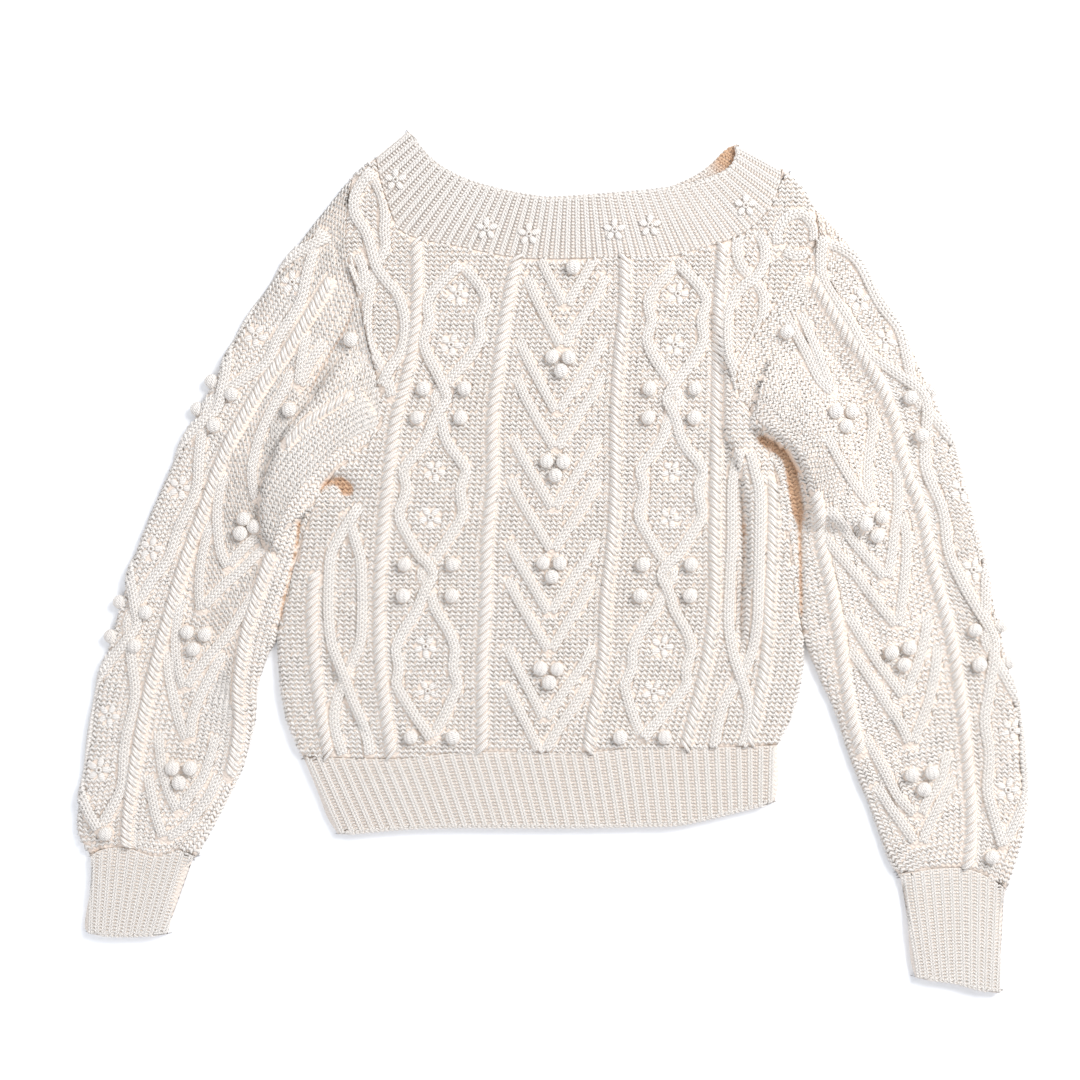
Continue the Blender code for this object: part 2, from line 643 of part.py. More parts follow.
def inside_height(points, folds, side_height, lowest):
    """Height of the upper layer's plain inner face at each plan point."""
    return np.clip(upper_height(points, folds, side_height) - WALL, lowest, INSIDE_TOP)


def knitted_top(outline, relief):
    """Outer triangles of an upper layer that carries raised stitches."""
    polygon = outline.points
    spots = kept_inside(relief.spot_points(), polygon, CLEAR)
    strands = kept_inside(relief.strand_points(), polygon, CLEAR)
    guides = kept_inside(np.vstack([side_guides(outline.folds), fold_guides(), crease_guides()]),
                         polygon, CLEAR)
    loose = kept_inside(loose_grid(polygon, GROUND_STEP), polygon, 0.4 * GROUND_STEP)
    inner = spread(spread(np.zeros((0, 2)), spots, 2.4), strands, 4.2)
    inner = spread(inner, guides, 7.0)
    return triangulated(polygon, spread(inner, loose, 13.0))


def plain_inside(polygon, folds):
    """Triangles of the plain inner face of an upper layer."""
    guides = kept_inside(np.vstack([crease_guides(), side_guides(folds)]), polygon, 4.0)
    loose = kept_inside(loose_grid(polygon, INSIDE_STEP), polygon, 0.4 * INSIDE_STEP)
    inner = spread(np.zeros((0, 2)), guides, 9.0)
    return triangulated(polygon, spread(inner, loose, 16.0))


def plain_floor(polygon):
    """Triangles of a flat face with a few loose points."""
    loose = kept_inside(loose_grid(polygon, 60.0), polygon, 18.0)
    return triangulated(polygon, loose)


def front_panel(outline, relief):
    """The front: a wall with raised stitches above and a plain inside, its sides on the back."""
    shell = Shell()
    flat, faces, rim = knitted_top(outline, relief)
    heights = upper_height(flat, outline.folds, SIDE_HEIGHT, relief)
    edge = np.array(rim)
    heights[edge] = upper_height(flat[edge], outline.folds, SIDE_HEIGHT)
    top = shell.sheet(flat, heights, faces, True)
    under, under_faces, under_rim = plain_inside(outline.points, outline.folds)
    depth = inside_height(under, outline.folds, SIDE_HEIGHT, BACK_THICKNESS + SEAM_GAP)
    bottom = shell.sheet(under, depth, under_faces, False)
    shell.band([top + k for k in rim], [bottom + k for k in under_rim], closed=True)
    return shell.to_object("front_panel")


def back_panel(outline):
    """The back: a plain slab on the table, its folded sides tucked in below."""
    shell = Shell()
    flat, faces, rim = plain_floor(outline.points)
    top = shell.sheet(flat, np.full(len(flat), BACK_THICKNESS), faces, True)
    under, under_faces, under_rim = plain_floor(outline.drawn_in(TUCK))
    bottom = shell.sheet(under, np.zeros(len(under)), under_faces, False)
    shell.band([top + k for k in rim], [bottom + k for k in under_rim], closed=True)
    return shell.to_object("back_panel")


def tube(name, outline, top_sheet, top_heights, under=None, floor=None):
    """A flattened tube of cloth, open at its two seams and closed along its two folded sides.

    The upper layer's outer face comes ready made. Its plain inside follows the outline under,
    and the lower layer the outline floor, whose seams may have fewer points.
    """
    under = under or outline
    floor = floor or under
    shell = Shell()
    places = {}

    def lay(key, sheet, heights, upward, ranges):
        flat, faces, rim = sheet
        start = shell.sheet(flat, heights, faces, upward)
        for number, (_, first, count) in enumerate(ranges):
            places[key, number] = [start + rim[(first + k) % len(rim)] for k in range(count + 1)]

    lay("top", top_sheet, top_heights, True, outline.ranges)
    ceiling = plain_inside(under.drawn_in(WALL), under.folds)
    depth = inside_height(ceiling[0], under.folds, FOLD_HEIGHT, WALL + LEAST_HOLLOW)
    lay("ceiling", ceiling, depth, False, under.ranges)
    base = plain_floor(floor.drawn_in(TUCK))
    lay("base", base, np.zeros(len(base[0])), False, floor.ranges)
    lining = plain_floor(floor.drawn_in(WALL))
    lay("lining", lining, np.full(len(lining[0]), WALL), True, floor.ranges)

    # Inside, the two layers meet along the creases of the folded sides.
    crease = {}
    for number, (kind, _, _) in enumerate(outline.ranges):
        if kind == "fold":
            shell.band(places["top", number], places["base", number])
            crease.update(zip(places["lining", number], places["ceiling", number]))
    for upper in crease.values():
        x, y, _ = shell.points[upper]
        shell.points[upper] = (x, y, CREASE_HEIGHT)
    shell.faces = [tuple(crease.get(k, k) for k in face) for face in shell.faces]
    for number, (kind, _, _) in enumerate(outline.ranges):
        if kind == "seam":
            top, low = places["top", number], places["base", number]
            ceiling_row = places["ceiling", number]
            shell.band(top, ceiling_row)
            shell.band(low, [crease.get(k, k) for k in places["lining", number]])
            for end in (0, -1):
                shell.faces.append((top[end], low[end], ceiling_row[end]))
    shell.drop_loose_points()
    return shell.to_object(name)


def sleeve(name, outline, relief, edge_bobbles):
    """A sleeve: a flattened tube with raised stitches above, and bobbles on its outer fold."""
    flat, faces, rim = knitted_top(outline, relief)
    heights = upper_height(flat, outline.folds, FOLD_HEIGHT, relief)
    edge = np.array(rim)
    heights[edge] = upper_height(flat[edge], outline.folds, FOLD_HEIGHT)
    made = tube(name, outline, (flat, faces, rim), heights)
    for number, (x, y) in enumerate(edge_bobbles):
        add_bobble(made, placed(x, y, EDGE_BOBBLE_HEIGHT), f"{name}_bobble_{number}")
    return made


def add_bobble(carrier, centre, name):
    """Fuse a round bobble to a piece."""
    mesh = bpy.data.meshes.new(name)
    work = bmesh.new()
    bmesh.ops.create_uvsphere(work, u_segments=8, v_segments=6, radius=BOBBLE_RADIUS * MM)
    bmesh.ops.translate(work, verts=work.verts, vec=centre)
    work.to_mesh(mesh)
    work.free()
    ball = bpy.data.objects.new(name, mesh)
    bpy.context.scene.collection.objects.link(ball)
    ball.hide_render = True
    ball.display_type = "WIRE"
    joint = carrier.modifiers.new(name, "BOOLEAN")
    joint.operation = "UNION"
    joint.object = ball


def ribbed_band(name, free_edge, right, seam, left, rows=RIB_ROWS, relief=None, back_edge=None):
    """A ribbed tube whose ribs run from its free edge to its seam.

    The seam has one stretch for each rib and the free edge two. Both sides run from the free
    edge to the seam, the first on the right of someone who stands on the free edge and faces
    the seam.
    """
    columns = len(free_edge) - 1
    levels = len(rows) - 1
    total = columns + 1
    right, left = (smooth_line(side, levels) for side in (right, left))
    outline = band_outline(free_edge, right, with_middles(seam), left)
    flat = np.vstack([free_edge + (with_middles(seam) - free_edge) * share for share in rows])
    rim = list(range(total)) + [level * total + columns for level in range(1, levels)]
    rim += [levels * total + columns - k for k in range(total)]
    rim += [level * total for level in range(levels - 1, 0, -1)]
    flat[rim] = outline.points
    faces = [(low, low + 1, low + 1 + total, low + total)
             for level in range(levels) for low in range(level * total, level * total + columns)]
    heights = upper_height(flat, outline.folds, FOLD_HEIGHT)
    rise = relief.rise(flat) if relief else np.zeros(len(flat))
    for level in range(levels):
        for k in range(1, columns):
            rib = RIB_HEIGHT if k % 2 else -RIB_HEIGHT
            heights[level * total + k] += max(rib, rise[level * total + k])
    heights[[0, columns, levels * total, levels * total + columns]] = FOLD_HEIGHT
    under = band_outline(free_edge[::2], right, seam, left)
    back_edge = free_edge if back_edge is None else back_edge
    floor = band_outline(back_edge[::2], right, seam, left)
    return tube(name, outline, (flat, faces, rim), heights, under, floor)


def band_outline(free_edge, right, seam, left):
    """Outline of a band: along its free edge, up the right side, back along the seam, down the left."""
    return Outline([("seam", free_edge), ("fold", right), ("seam", seam[::-1]), ("fold", left[::-1])])


def with_middles(line):
    """The same polyline with a point added halfway along each stretch."""
    middles = 0.5 * (line[1:] + line[:-1])
    return np.insert(line, np.arange(1, len(line)), middles, axis=0)


def clear_scene():
    """Remove whatever the start-up file holds."""
    for item in list(bpy.data.objects):
        bpy.data.objects.remove(item)


def main():
    """Build the eight knitted pieces."""
    clear_scene()
    hem_seam = smooth_line(HEM_SEAM, HEM_RIBS)
    hem_edge = smooth_line(HEM_EDGE, 2 * HEM_RIBS)
    neck_seam = smooth_line(NECK_SEAM, NECK_RIBS)
    neck_edge = smooth_line(NECK_EDGE, 2 * NECK_RIBS)
    back_neck = smooth_line(BACK_NECK_EDGE, 2 * NECK_RIBS)
    left = np.array(LEFT_SLEEVE_ROWS, float)
    right = np.array(RIGHT_SLEEVE_ROWS, float)
    left_armhole = smooth_line(left[0])
    right_armhole = smooth_line(right[0])
    left_cuff_seam = smooth_line(left[-1], CUFF_RIBS)
    right_cuff_seam = smooth_line(right[-1], CUFF_RIBS)

    # Anticlockwise from the hem's left corner.
    body = Outline([
        ("seam", hem_seam), ("fold", smooth_line(RIGHT_SIDE)[::-1]),
        ("seam", right_armhole[::-1]), ("fold", smooth_line(RIGHT_SHOULDER)[::-1]),
        ("seam", neck_seam[::-1]), ("fold", smooth_line(LEFT_SHOULDER)),
        ("seam", left_armhole), ("fold", smooth_line(LEFT_SIDE)),
    ])
    front_panel(body, body_relief())
    back_panel(body)

    left_outline = Outline([
        ("seam", left_armhole[::-1]), ("fold", smooth_line(left[:, 0])),
        ("seam", left_cuff_seam), ("fold", smooth_line(left[:, -1])[::-1]),
    ])
    left_relief = sleeve_relief(LEFT_SLEEVE_ROWS, LEFT_BOBBLES, LEFT_TRIPLES, LEFT_TIPS,
                                LEFT_FLOWERS, LEFT_TWISTS)
    sleeve("left_sleeve", left_outline, left_relief, LEFT_EDGE_BOBBLES)
    right_outline = Outline([
        ("seam", right_armhole), ("fold", smooth_line(right[:, -1])),
        ("seam", right_cuff_seam[::-1]), ("fold", smooth_line(right[:, 0])[::-1]),
    ])
    right_relief = sleeve_relief(RIGHT_SLEEVE_ROWS, RIGHT_BOBBLES, RIGHT_TRIPLES, RIGHT_TIPS,
                                 RIGHT_FLOWERS, RIGHT_TWISTS)
    sleeve("right_sleeve", right_outline, right_relief, RIGHT_EDGE_BOBBLES)

    ribbed_band("hem_rib", hem_edge, HEM_RIGHT[::-1], hem_seam, HEM_LEFT[::-1])
    # The neckband's free edge is at its top, so it is walked from right to left.
    neck_relief = Relief()
    neck_relief.flowers = [np.array(place, float) for place in BAND_FLOWERS]
    ribbed_band("neckband", neck_edge[::-1], LEFT_NECK_FOLD, neck_seam[::-1], RIGHT_NECK_FOLD,
                NECK_ROWS, neck_relief, back_neck[::-1])
    ribbed_band("left_cuff", smooth_line(LEFT_CUFF_EDGE, 2 * CUFF_RIBS), LEFT_CUFF_INNER[::-1],
                left_cuff_seam, LEFT_CUFF_OUTER[::-1])
    ribbed_band("right_cuff", smooth_line(RIGHT_CUFF_EDGE, 2 * CUFF_RIBS), RIGHT_CUFF_OUTER[::-1],
                right_cuff_seam[::-1], RIGHT_CUFF_INNER[::-1])


if __name__ == "__main__":
    main()
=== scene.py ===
"""Aran pullover in thick ivory wool, laid flat on its back with both sleeves down.

Each knitted piece is a thin shell of ground cloth on its solid's form, and its stitches lie on that
cloth one by one: the purl courses, the cables, the ribs, the bobbles and the small flowers. Plan
places, sizes and heights are millimetres on the laid garment, X across the chest, Y from the hem to
the neck and Z up from the table. `placed` turns them to metres in the part's own frame.
"""

import logging
import math
from dataclasses import dataclass, field
from enum import Enum
from typing import NamedTuple

import bmesh
import bpy
import numpy as np
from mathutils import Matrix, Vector
from mathutils.geometry import delaunay_2d_cdt


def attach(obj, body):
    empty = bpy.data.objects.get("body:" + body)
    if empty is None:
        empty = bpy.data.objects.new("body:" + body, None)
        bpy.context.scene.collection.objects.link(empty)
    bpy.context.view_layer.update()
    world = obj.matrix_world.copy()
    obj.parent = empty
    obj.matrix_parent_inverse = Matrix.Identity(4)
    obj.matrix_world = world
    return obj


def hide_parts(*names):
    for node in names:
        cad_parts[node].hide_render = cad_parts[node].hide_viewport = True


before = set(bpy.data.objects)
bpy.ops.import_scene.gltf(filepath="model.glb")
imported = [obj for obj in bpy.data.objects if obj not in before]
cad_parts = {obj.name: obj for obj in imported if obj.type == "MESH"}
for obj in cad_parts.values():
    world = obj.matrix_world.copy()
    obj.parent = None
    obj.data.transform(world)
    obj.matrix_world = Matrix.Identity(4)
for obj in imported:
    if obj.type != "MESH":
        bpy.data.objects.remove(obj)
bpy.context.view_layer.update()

Array = np.ndarray
Object = bpy.types.Object

LOG = logging.getLogger("pullover")
MM = 0.001
QUARTER = math.pi / 2
CENTRE = (0.2, -0.97)       # the middle of the garment's plan box, which is the frame's origin

WALL = 3.2                  # thickness of the knitted ground
BACK_THICKNESS = 3.5        # the back panel lies on the table
SEAM_GAP = 0.3
GROUND = 9.2                # top of the plain ground on the upper layer
INSIDE_TOP = 6.6            # highest place of the upper layer's inside
FOLD_HEIGHT = 5.0           # height of the crease where a tube turns under
SIDE_HEIGHT = 6.2           # top of the front where its side meets the back
FOLD_RADIUS = 12.0          # how far in from a folded side the cloth is still rounding over
TUCK = 2.5                  # how far a folded side draws in down to the table
ROLL = 6.2                  # length of the cloth from a folded side's crease to the table
LOWEST_YARN = 0.15          # no yarn sinks into the table
CREASE_HEIGHT = 4.2         # of the inside of a tube's folded side
UNDER_RELIEF = 0.9          # how far the ground cloth follows the stitches that are raised over it
NEARBY = 10.0               # an inside keeps under the cloth as far around it as this
TURNS = ((0.35, 2.6), (1.1, 0.9))   # how far in and how high the strips of a turned side end
FINE = 4.0                  # spacing of the ground cloth's points
COARSE = 11.5               # spacing of an inside's or an underside's points along its outline
INSIDE_STEP = 18.0          # and within it, on the inside of an upper layer
LINING_STEP = 30.0          # on the inside of a lower layer, which is plain
BASE_STEP = 9.0             # on the underside of a tube, which arches

WALE = 5.2                  # width of one stitch
COURSE = 4.1                # height of one row
RIB_COURSE = 3.0            # the ribs are knitted on finer needles
PITCH = 9.4                 # from one rib to the next where they lie unstretched
CUFF_RIBS = 12
WANDER = 0.24               # how far a hand-knitted purl stitch strays from its place,
UNEVEN = 0.22               # how far it lies deeper or higher than the next,
TILT = 0.09                 # and how far it leans


class Slot(Enum):
    """The record's material slots."""

    CABLE = "cable_knit"
    PLAIN = "plain_knit"
    RIB = "rib_knit"


class Slant(Enum):
    """Which way a rope's strokes climb, seen from above."""

    RIGHT = 1
    LEFT = -1


class Nearest(NamedTuple):
    """How points lie to a line: distance, side (1 on its left), place from 0 to 1, nearest point."""

    apart: Array
    side: Array
    place: Array
    foot: Array


def catmull(points: Array, at: Array) -> Array:
    """Points of a smooth curve through the given points.

    Args:
        points: the points, along the first axis.
        at: fractional places along the list.
    Returns:
        One point for each place.
    """
    points = np.asarray(points, float)
    ahead = 2 * points[0] - points[1]
    beyond = 2 * points[-1] - points[-2]
    padded = np.concatenate([ahead[None], points, beyond[None]])
    at = np.clip(np.asarray(at, float), 0, len(points) - 1)
    first = np.minimum(at.astype(int), len(points) - 2)
    t = (at - first).reshape((-1,) + (1,) * (points.ndim - 1))
    p0, p1, p2, p3 = (padded[first + k] for k in range(4))
    return 0.5 * (2 * p1 + (p2 - p0) * t + (2 * p0 - 5 * p1 + 4 * p2 - p3) * t * t
                  + (3 * p1 - p0 - 3 * p2 + p3) * t ** 3)


def arc_lengths(line: Array) -> Array:
    """Distance along a polyline to each of its points."""
    return np.concatenate([[0.0], np.cumsum(np.linalg.norm(np.diff(line, axis=0), axis=1))])


def resample(line: Array, count: int) -> Array:
    """The polyline redrawn with count + 1 evenly spaced points."""
    run = arc_lengths(line)
    wanted = np.linspace(0, run[-1], count + 1)
    return np.column_stack([np.interp(wanted, run, line[:, k]) for k in range(2)])


def smooth_line(points: Array, count: int | None = None, step: float = FINE) -> Array:
    """An evenly spaced smooth line through a few points.

    Args:
        points: plan points that the line passes.
        count: the number of stretches, or None to go by the step.
        step: the wanted length of a stretch.
    Returns:
        The points of the line.
    """
    fine = catmull(points, np.linspace(0, len(points) - 1, 20 * len(points)))
    if count is None:
        count = max(1, round(arc_lengths(fine)[-1] / step))
    return resample(fine, count)


def normals_of(line: Array) -> Array:
    """The unit normal on the left of the way the line runs, at each of its points."""
    run = np.gradient(line, axis=0)
    run /= np.linalg.norm(run, axis=1)[:, None]
    return np.column_stack([-run[:, 1], run[:, 0]])


def nearest_on(points: Array, line: Array, reach: float = math.inf) -> Nearest:
    """How points lie to a polyline.

    Args:
        points: plan points.
        line: the polyline.
        reach: points farther than this from the line's box are left at an endless distance.
    Returns:
        The distance, side, place and nearest point for each point.
    """
    line = np.asarray(line, float)
    run = arc_lengths(line)
    found = Nearest(np.full(len(points), np.inf), np.ones(len(points)), np.zeros(len(points)),
                    points.copy())
    near = np.all((points > line.min(axis=0) - reach) & (points < line.max(axis=0) + reach), axis=1)
    if not near.any():
        return found
    spots = points[near]
    best = Nearest(*(values[near] for values in found))
    for start, end, passed in zip(line, line[1:], run):
        way = end - start
        length = np.linalg.norm(way)
        offset = spots - start
        along = np.clip(offset @ way / length ** 2, 0, 1)
        gap = offset - along[:, None] * way
        apart = np.hypot(gap[:, 0], gap[:, 1])
        side = np.sign(way[0] * offset[:, 1] - way[1] * offset[:, 0])
        closer = apart < best.apart
        for kept, new in zip(best, (apart, side, (passed + along * length) / run[-1], spots - gap)):
            kept[closer] = new[closer]
    for whole, part in zip(found, best):
        whole[near] = part
    return found


def eased(share: Array) -> Array:
    """A smooth step from 0 to 1."""
    share = np.clip(share, 0, 1)
    return share * share * (3 - 2 * share)


def inside_polygon(points: Array, polygon: Array) -> Array:
    """Whether each point lies inside a closed polygon."""
    found = np.zeros(len(points), bool)
    ends = np.roll(polygon, -1, axis=0)
    for (ax, ay), (bx, by) in zip(polygon, ends):
        spans = (ay > points[:, 1]) != (by > points[:, 1])
        with np.errstate(divide="ignore", invalid="ignore"):
            cut = ax + (points[:, 1] - ay) * (bx - ax) / (by - ay)
        found ^= spans & (points[:, 0] < cut)
    return found


def polygon_area(polygon: Array) -> float:
    """Area of a closed polygon."""
    x, y = polygon.T
    return 0.5 * abs(float(np.sum(x * np.roll(y, -1) - y * np.roll(x, -1))))


def placed(points: Array) -> Array:
    """Plan places and heights in millimetres, in the part's own frame in metres."""
    return (np.asarray(points, float) - (*CENTRE, 0.0)) * MM


class Chart:
    """Plan places on a knitted piece, by its cross row and by its line of stitches."""

    def __init__(self, columns: tuple[str, ...], rows: Array) -> None:
        """Keep the names of the lines of stitches and their places at each cross row."""
        self.columns = {name: k for k, name in enumerate(columns)}
        self.rows = np.asarray(rows, float)

    def line(self, column: str | float, first: float = 0.0, last: float | None = None,
             steps: int = 120) -> Array:
        """The plan line of one column of stitches.

        Args:
            column: its name, or a fractional place between two columns.
            first: the cross row where the line starts.
            last: the cross row where it ends, or None for the last.
            steps: the number of its points.
        Returns:
            The points of the line.
        """
        last = len(self.rows) - 1 if last is None else last
        place = self.columns[column] if isinstance(column, str) else column
        across = catmull(self.rows.transpose(1, 0, 2), [place])[0]
        return catmull(across, np.linspace(first, last, steps))

    def at(self, row: float, column: float) -> Array:
        """The plan point at a fractional row and column."""
        return self.line(column, row, row, 1)[0]

    def course(self, row: float, first: int, last: int, steps: int = 24) -> Array:
        """The plan line of one cross row between two columns."""
        across = catmull(self.rows, [row])[0]
        return catmull(across, np.linspace(first, last, steps))


# --- The laid cloth: its folds and creases ---


@dataclass(frozen=True)
class Overlap:
    """Cloth folded over its neighbour: it rises along an edge that runs with it on the left."""

    edge: tuple[tuple[float, float], ...]
    rise: float
    reach: float
    rounding: float = 8.0

    def lift(self, points: Array) -> Array:
        """How far the folded cloth lies over the plain height at each point."""
        near = nearest_on(points, smooth_line(self.edge, step=6), self.reach)
        # It rounds up from the edge, sinks back past a third of its reach, and runs out at its ends.
        start = np.sqrt(1 - (1 - np.clip(near.apart / self.rounding, 0, 1)) ** 2)
        fade = 1 - eased((near.apart / self.reach - 0.35) / 0.65)
        ends = eased(near.place / 0.2) * eased((1 - near.place) / 0.12)
        return np.where(near.side > 0, self.rise * start * fade * ends, 0.0)


@dataclass(frozen=True)
class Crease:
    """A soft trough in the laid cloth, or a ridge where its depth is negative."""

    line: tuple[tuple[float, float], ...]
    depth: float
    half_width: float

    def lift(self, points: Array) -> Array:
        """How far the crease lifts the cloth at each point, which is down for a trough."""
        near = nearest_on(points, smooth_line(self.line, step=8), self.half_width)
        ends = eased(np.minimum(near.place, 1 - near.place) / 0.2 + 0.25)
        return -self.depth * ends * np.clip(1 - near.apart / self.half_width, 0, 1) ** 2


@dataclass(frozen=True)
class Drape:
    """All that the cloth does between lying flat: large folds, creases and faint waves."""

    folds: tuple[Overlap, ...] = (
        Overlap(((-160, 186), (-180, 187), (-192, 180), (-202, 165), (-212, 150), (-226, 133),
                 (-240, 115), (-249, 98), (-256, 80), (-261, 65), (-262, 45), (-261, 25), (-254, 14),
                 (-244, 7), (-236, 4)), 13.0, 74.0, 9.0),
        Overlap(((157, 244), (153, 215), (152, 190), (155, 165), (155, 135), (157, 115), (165, 92),
                 (172, 70), (175, 45), (176, 20), (175, -10), (173, -50), (172, -84)), 7.0, 34.0, 6.0),
        Overlap(((166, 124), (176, 119), (188, 117), (199, 111), (210, 102), (219, 92), (225, 80),
                 (229, 65), (231, 50), (229, 28)), 13.0, 80.0, 8.0),
    )
    creases: tuple[Crease, ...] = (
        # Valleys beside the shoulders and along the sleeves.
        Crease(((-176, 248), (-183, 215), (-200, 186), (-213, 162), (-224, 138)), 3.7, 17.0),
        Crease(((-197, 286), (-184, 258), (-172, 240)), 2.0, 6.0),
        Crease(((222, 232), (240, 202), (262, 176), (280, 150), (284, 110), (278, 60)), 3.2, 15.0),
        Crease(((-312, 40), (-319, 10), (-322, -20), (-325, -50), (-336, -75), (-340, -100),
                (-338, -130), (-333, -160)), 2.8, 14.0),
        Crease(((281, -22), (292, -58), (303, -92)), 2.0, 9.0),
        Crease(((303, -140), (313, -168), (318, -196)), 2.0, 9.0),
        Crease(((384, -130), (380, -160), (383, -205), (392, -240)), 1.8, 9.0),
        # The gaps between the sleeves and the front, and the pockets at the underarms.
        Crease(((-212, 56), (-222, 46), (-227, 38), (-229, 15), (-234, -8), (-242, -40), (-246, -62)),
               5.2, 8.0),
        Crease(((214, 97), (216, 80), (219, 62), (224, 36), (225, 0), (226, -64)), 5.2, 8.0),
        Crease(((-209, 60), (-204, 70), (-195, 73), (-187, 69), (-181, 58)), 11.0, 14.0),
        Crease(((180, 114), (199, 104), (210, 97), (217, 84), (220, 64), (225, 34)), 10.0, 12.0),
        Crease(((222, 283), (237, 282)), 4.0, 6.0),
        Crease(((182, 291), (191, 297)), 3.0, 6.0),
        # Sharp creases that run out of the folds.
        Crease(((-180, 192), (-172, 189), (-165, 180), (-153, 162)), 2.0, 6.0),
        Crease(((-166, 52), (-176, 42), (-184, 31), (-184, 2)), 2.2, 6.0),
        Crease(((-258, 22), (-272, 4), (-290, -6)), 2.4, 6.0),
        Crease(((-256, 18), (-264, -2), (-274, -24)), 2.4, 6.0),
        Crease(((142, 244), (144, 215), (147, 190), (149, 165), (149, 140), (151, 118), (158, 96)),
               2.6, 9.0),
        Crease(((170, 76), (173, 40), (174, 10), (172, -30), (171, -80)), 4.0, 7.0),
        Crease(((-208, -82), (-193, -112), (-183, -138), (-164, -158), (-150, -176)), 2.2, 10.0),
    )
    waves: tuple[Crease, ...] = (
        Crease(((-150, 250), (-100, 232), (-60, 246)), 0.9, 22.0),
        Crease(((-190, -30), (-150, -48), (-120, -88)), 1.2, 17.0),
        Crease(((190, 40), (150, 10), (128, -38)), 1.1, 19.0),
        Crease(((-60, 120), (0, 104), (60, 122)), -1.0, 24.0),
        Crease(((60, -60), (100, -92), (160, -100)), -1.1, 18.0),
        Crease(((-380, 60), (-330, 20), (-300, 22)), 1.3, 16.0),
        Crease(((-400, -160), (-350, -176), (-300, -168)), 1.2, 14.0),
        Crease(((300, 130), (330, 100), (352, 98)), 1.2, 15.0),
        Crease(((290, -90), (340, -112), (400, -100)), 1.3, 15.0),
        Crease(((-300, 120), (-268, 82), (-262, 60)), -1.4, 18.0),
        Crease(((300, -210), (350, -222), (410, -214)), -1.0, 17.0),
    )
    # Where amber shade is painted round the opening of the neck, for the light that comes through the cloth
    # and gathers there, and how far it reaches.
    opening: tuple[float, float] = (161.0, 364.0)
    painted_glow_reach: float = 21.0
    deepest: float = 4.4            # no place lies lower than this under its plain height
    amber_shade: tuple[float, float] = (2.9, 1.5)     # where the painted amber shade starts in a fold, and over what depth
    # On the underside the cloth arches off the table along a few creases.
    hidden: tuple[Crease, ...] = (
        Crease(((-150, 200), (-90, 120), (-110, 20)), -1.5, 15.0),
        Crease(((120, 240), (70, 130), (100, 40)), -1.3, 18.0),
        Crease(((-60, -20), (10, -60), (90, -50)), -1.2, 14.0),
        Crease(((-330, 60), (-300, 0), (-310, -90)), -1.4, 12.0),
        Crease(((320, 90), (300, 10), (330, -90)), -1.3, 12.0),
        Crease(((-390, -150), (-350, -180), (-330, -230)), -1.0, 10.0),
    )

    def lift(self, points: Array) -> Array:
        """How far the upper layer stands over its plain height at each point."""
        rise = np.zeros(len(points))
        for fold in self.folds:
            rise = np.maximum(rise, fold.lift(points))
        for crease in self.creases + self.waves:
            rise += crease.lift(points)
        return np.maximum(rise, -self.deepest)

    def painted_shade(self, points: Array) -> Array:
        """How much amber shade is painted at each place and height, from 0 to 1, by how deep it lies in a
        fold, or in the opening of the neck.
        """
        plan = points[:, :2]
        first, span = self.amber_shade
        folded = eased((-self.lift(plan) - first) / span)
        near = eased(1.25 - np.linalg.norm(plan - self.opening, axis=1) / self.painted_glow_reach)
        return np.maximum(folded, near * (points[:, 2] < FOLD_HEIGHT + 0.6))

    def arch(self, points: Array) -> Array:
        """How far the underside stands off the table at each point."""
        rise = np.zeros(len(points))
        for crease in self.hidden:
            rise += crease.lift(points)
        return rise


DRAPE = Drape()


class Outline:
    """A piece's closed plan outline, anticlockwise, in stretches that are seams or folds."""

    def __init__(self, stretches: list[tuple[str, Array]]) -> None:
        """Join the stretches, each a kind and a line, and part the seams from their neighbours."""
        self.ranges = []
        self.folds = [line for kind, line in stretches if kind == "fold"]
        self.seams = [line for kind, line in stretches if kind == "seam"]
        drawn = [line.copy() if kind == "fold" else line + normals_of(line) * SEAM_GAP / 2
                 for kind, line in stretches]
        points = []
        folded = []
        for k, (kind, _) in enumerate(stretches):
            line = drawn[k]
            if kind == "fold":
                line[0] = drawn[k - 1][-1]
            self.ranges.append((kind, len(points), len(line) - 1))
            points += list(line[:-1])
            folded += [kind == "fold"] * (len(line) - 1)
        self.points = np.array(points)
        for kind, first, count in self.ranges:
            if kind == "fold":
                folded[(first + count) % len(points)] = True
        self.folded = np.array(folded)

    def drawn_in(self, distance: float) -> Array:
        """The outline with its folded sides moved inwards and its seams kept in their lines."""
        points = self.points
        total = len(points)
        way = np.roll(points, -1, axis=0) - np.roll(points, 1, axis=0)
        way /= np.linalg.norm(way, axis=1)[:, None]
        moved = points + distance * np.column_stack([-way[:, 1], way[:, 0]]) * self.folded[:, None]
        for kind, first, count in self.ranges:
            if kind != "fold":
                continue
            last = (first + count) % total
            for corner, neighbour in ((first, (first - 1) % total), (last, (last + 1) % total)):
                if not self.folded[neighbour]:
                    way = points[neighbour] - points[corner]
                    moved[corner] = points[corner] + distance * way / np.linalg.norm(way)
        return moved


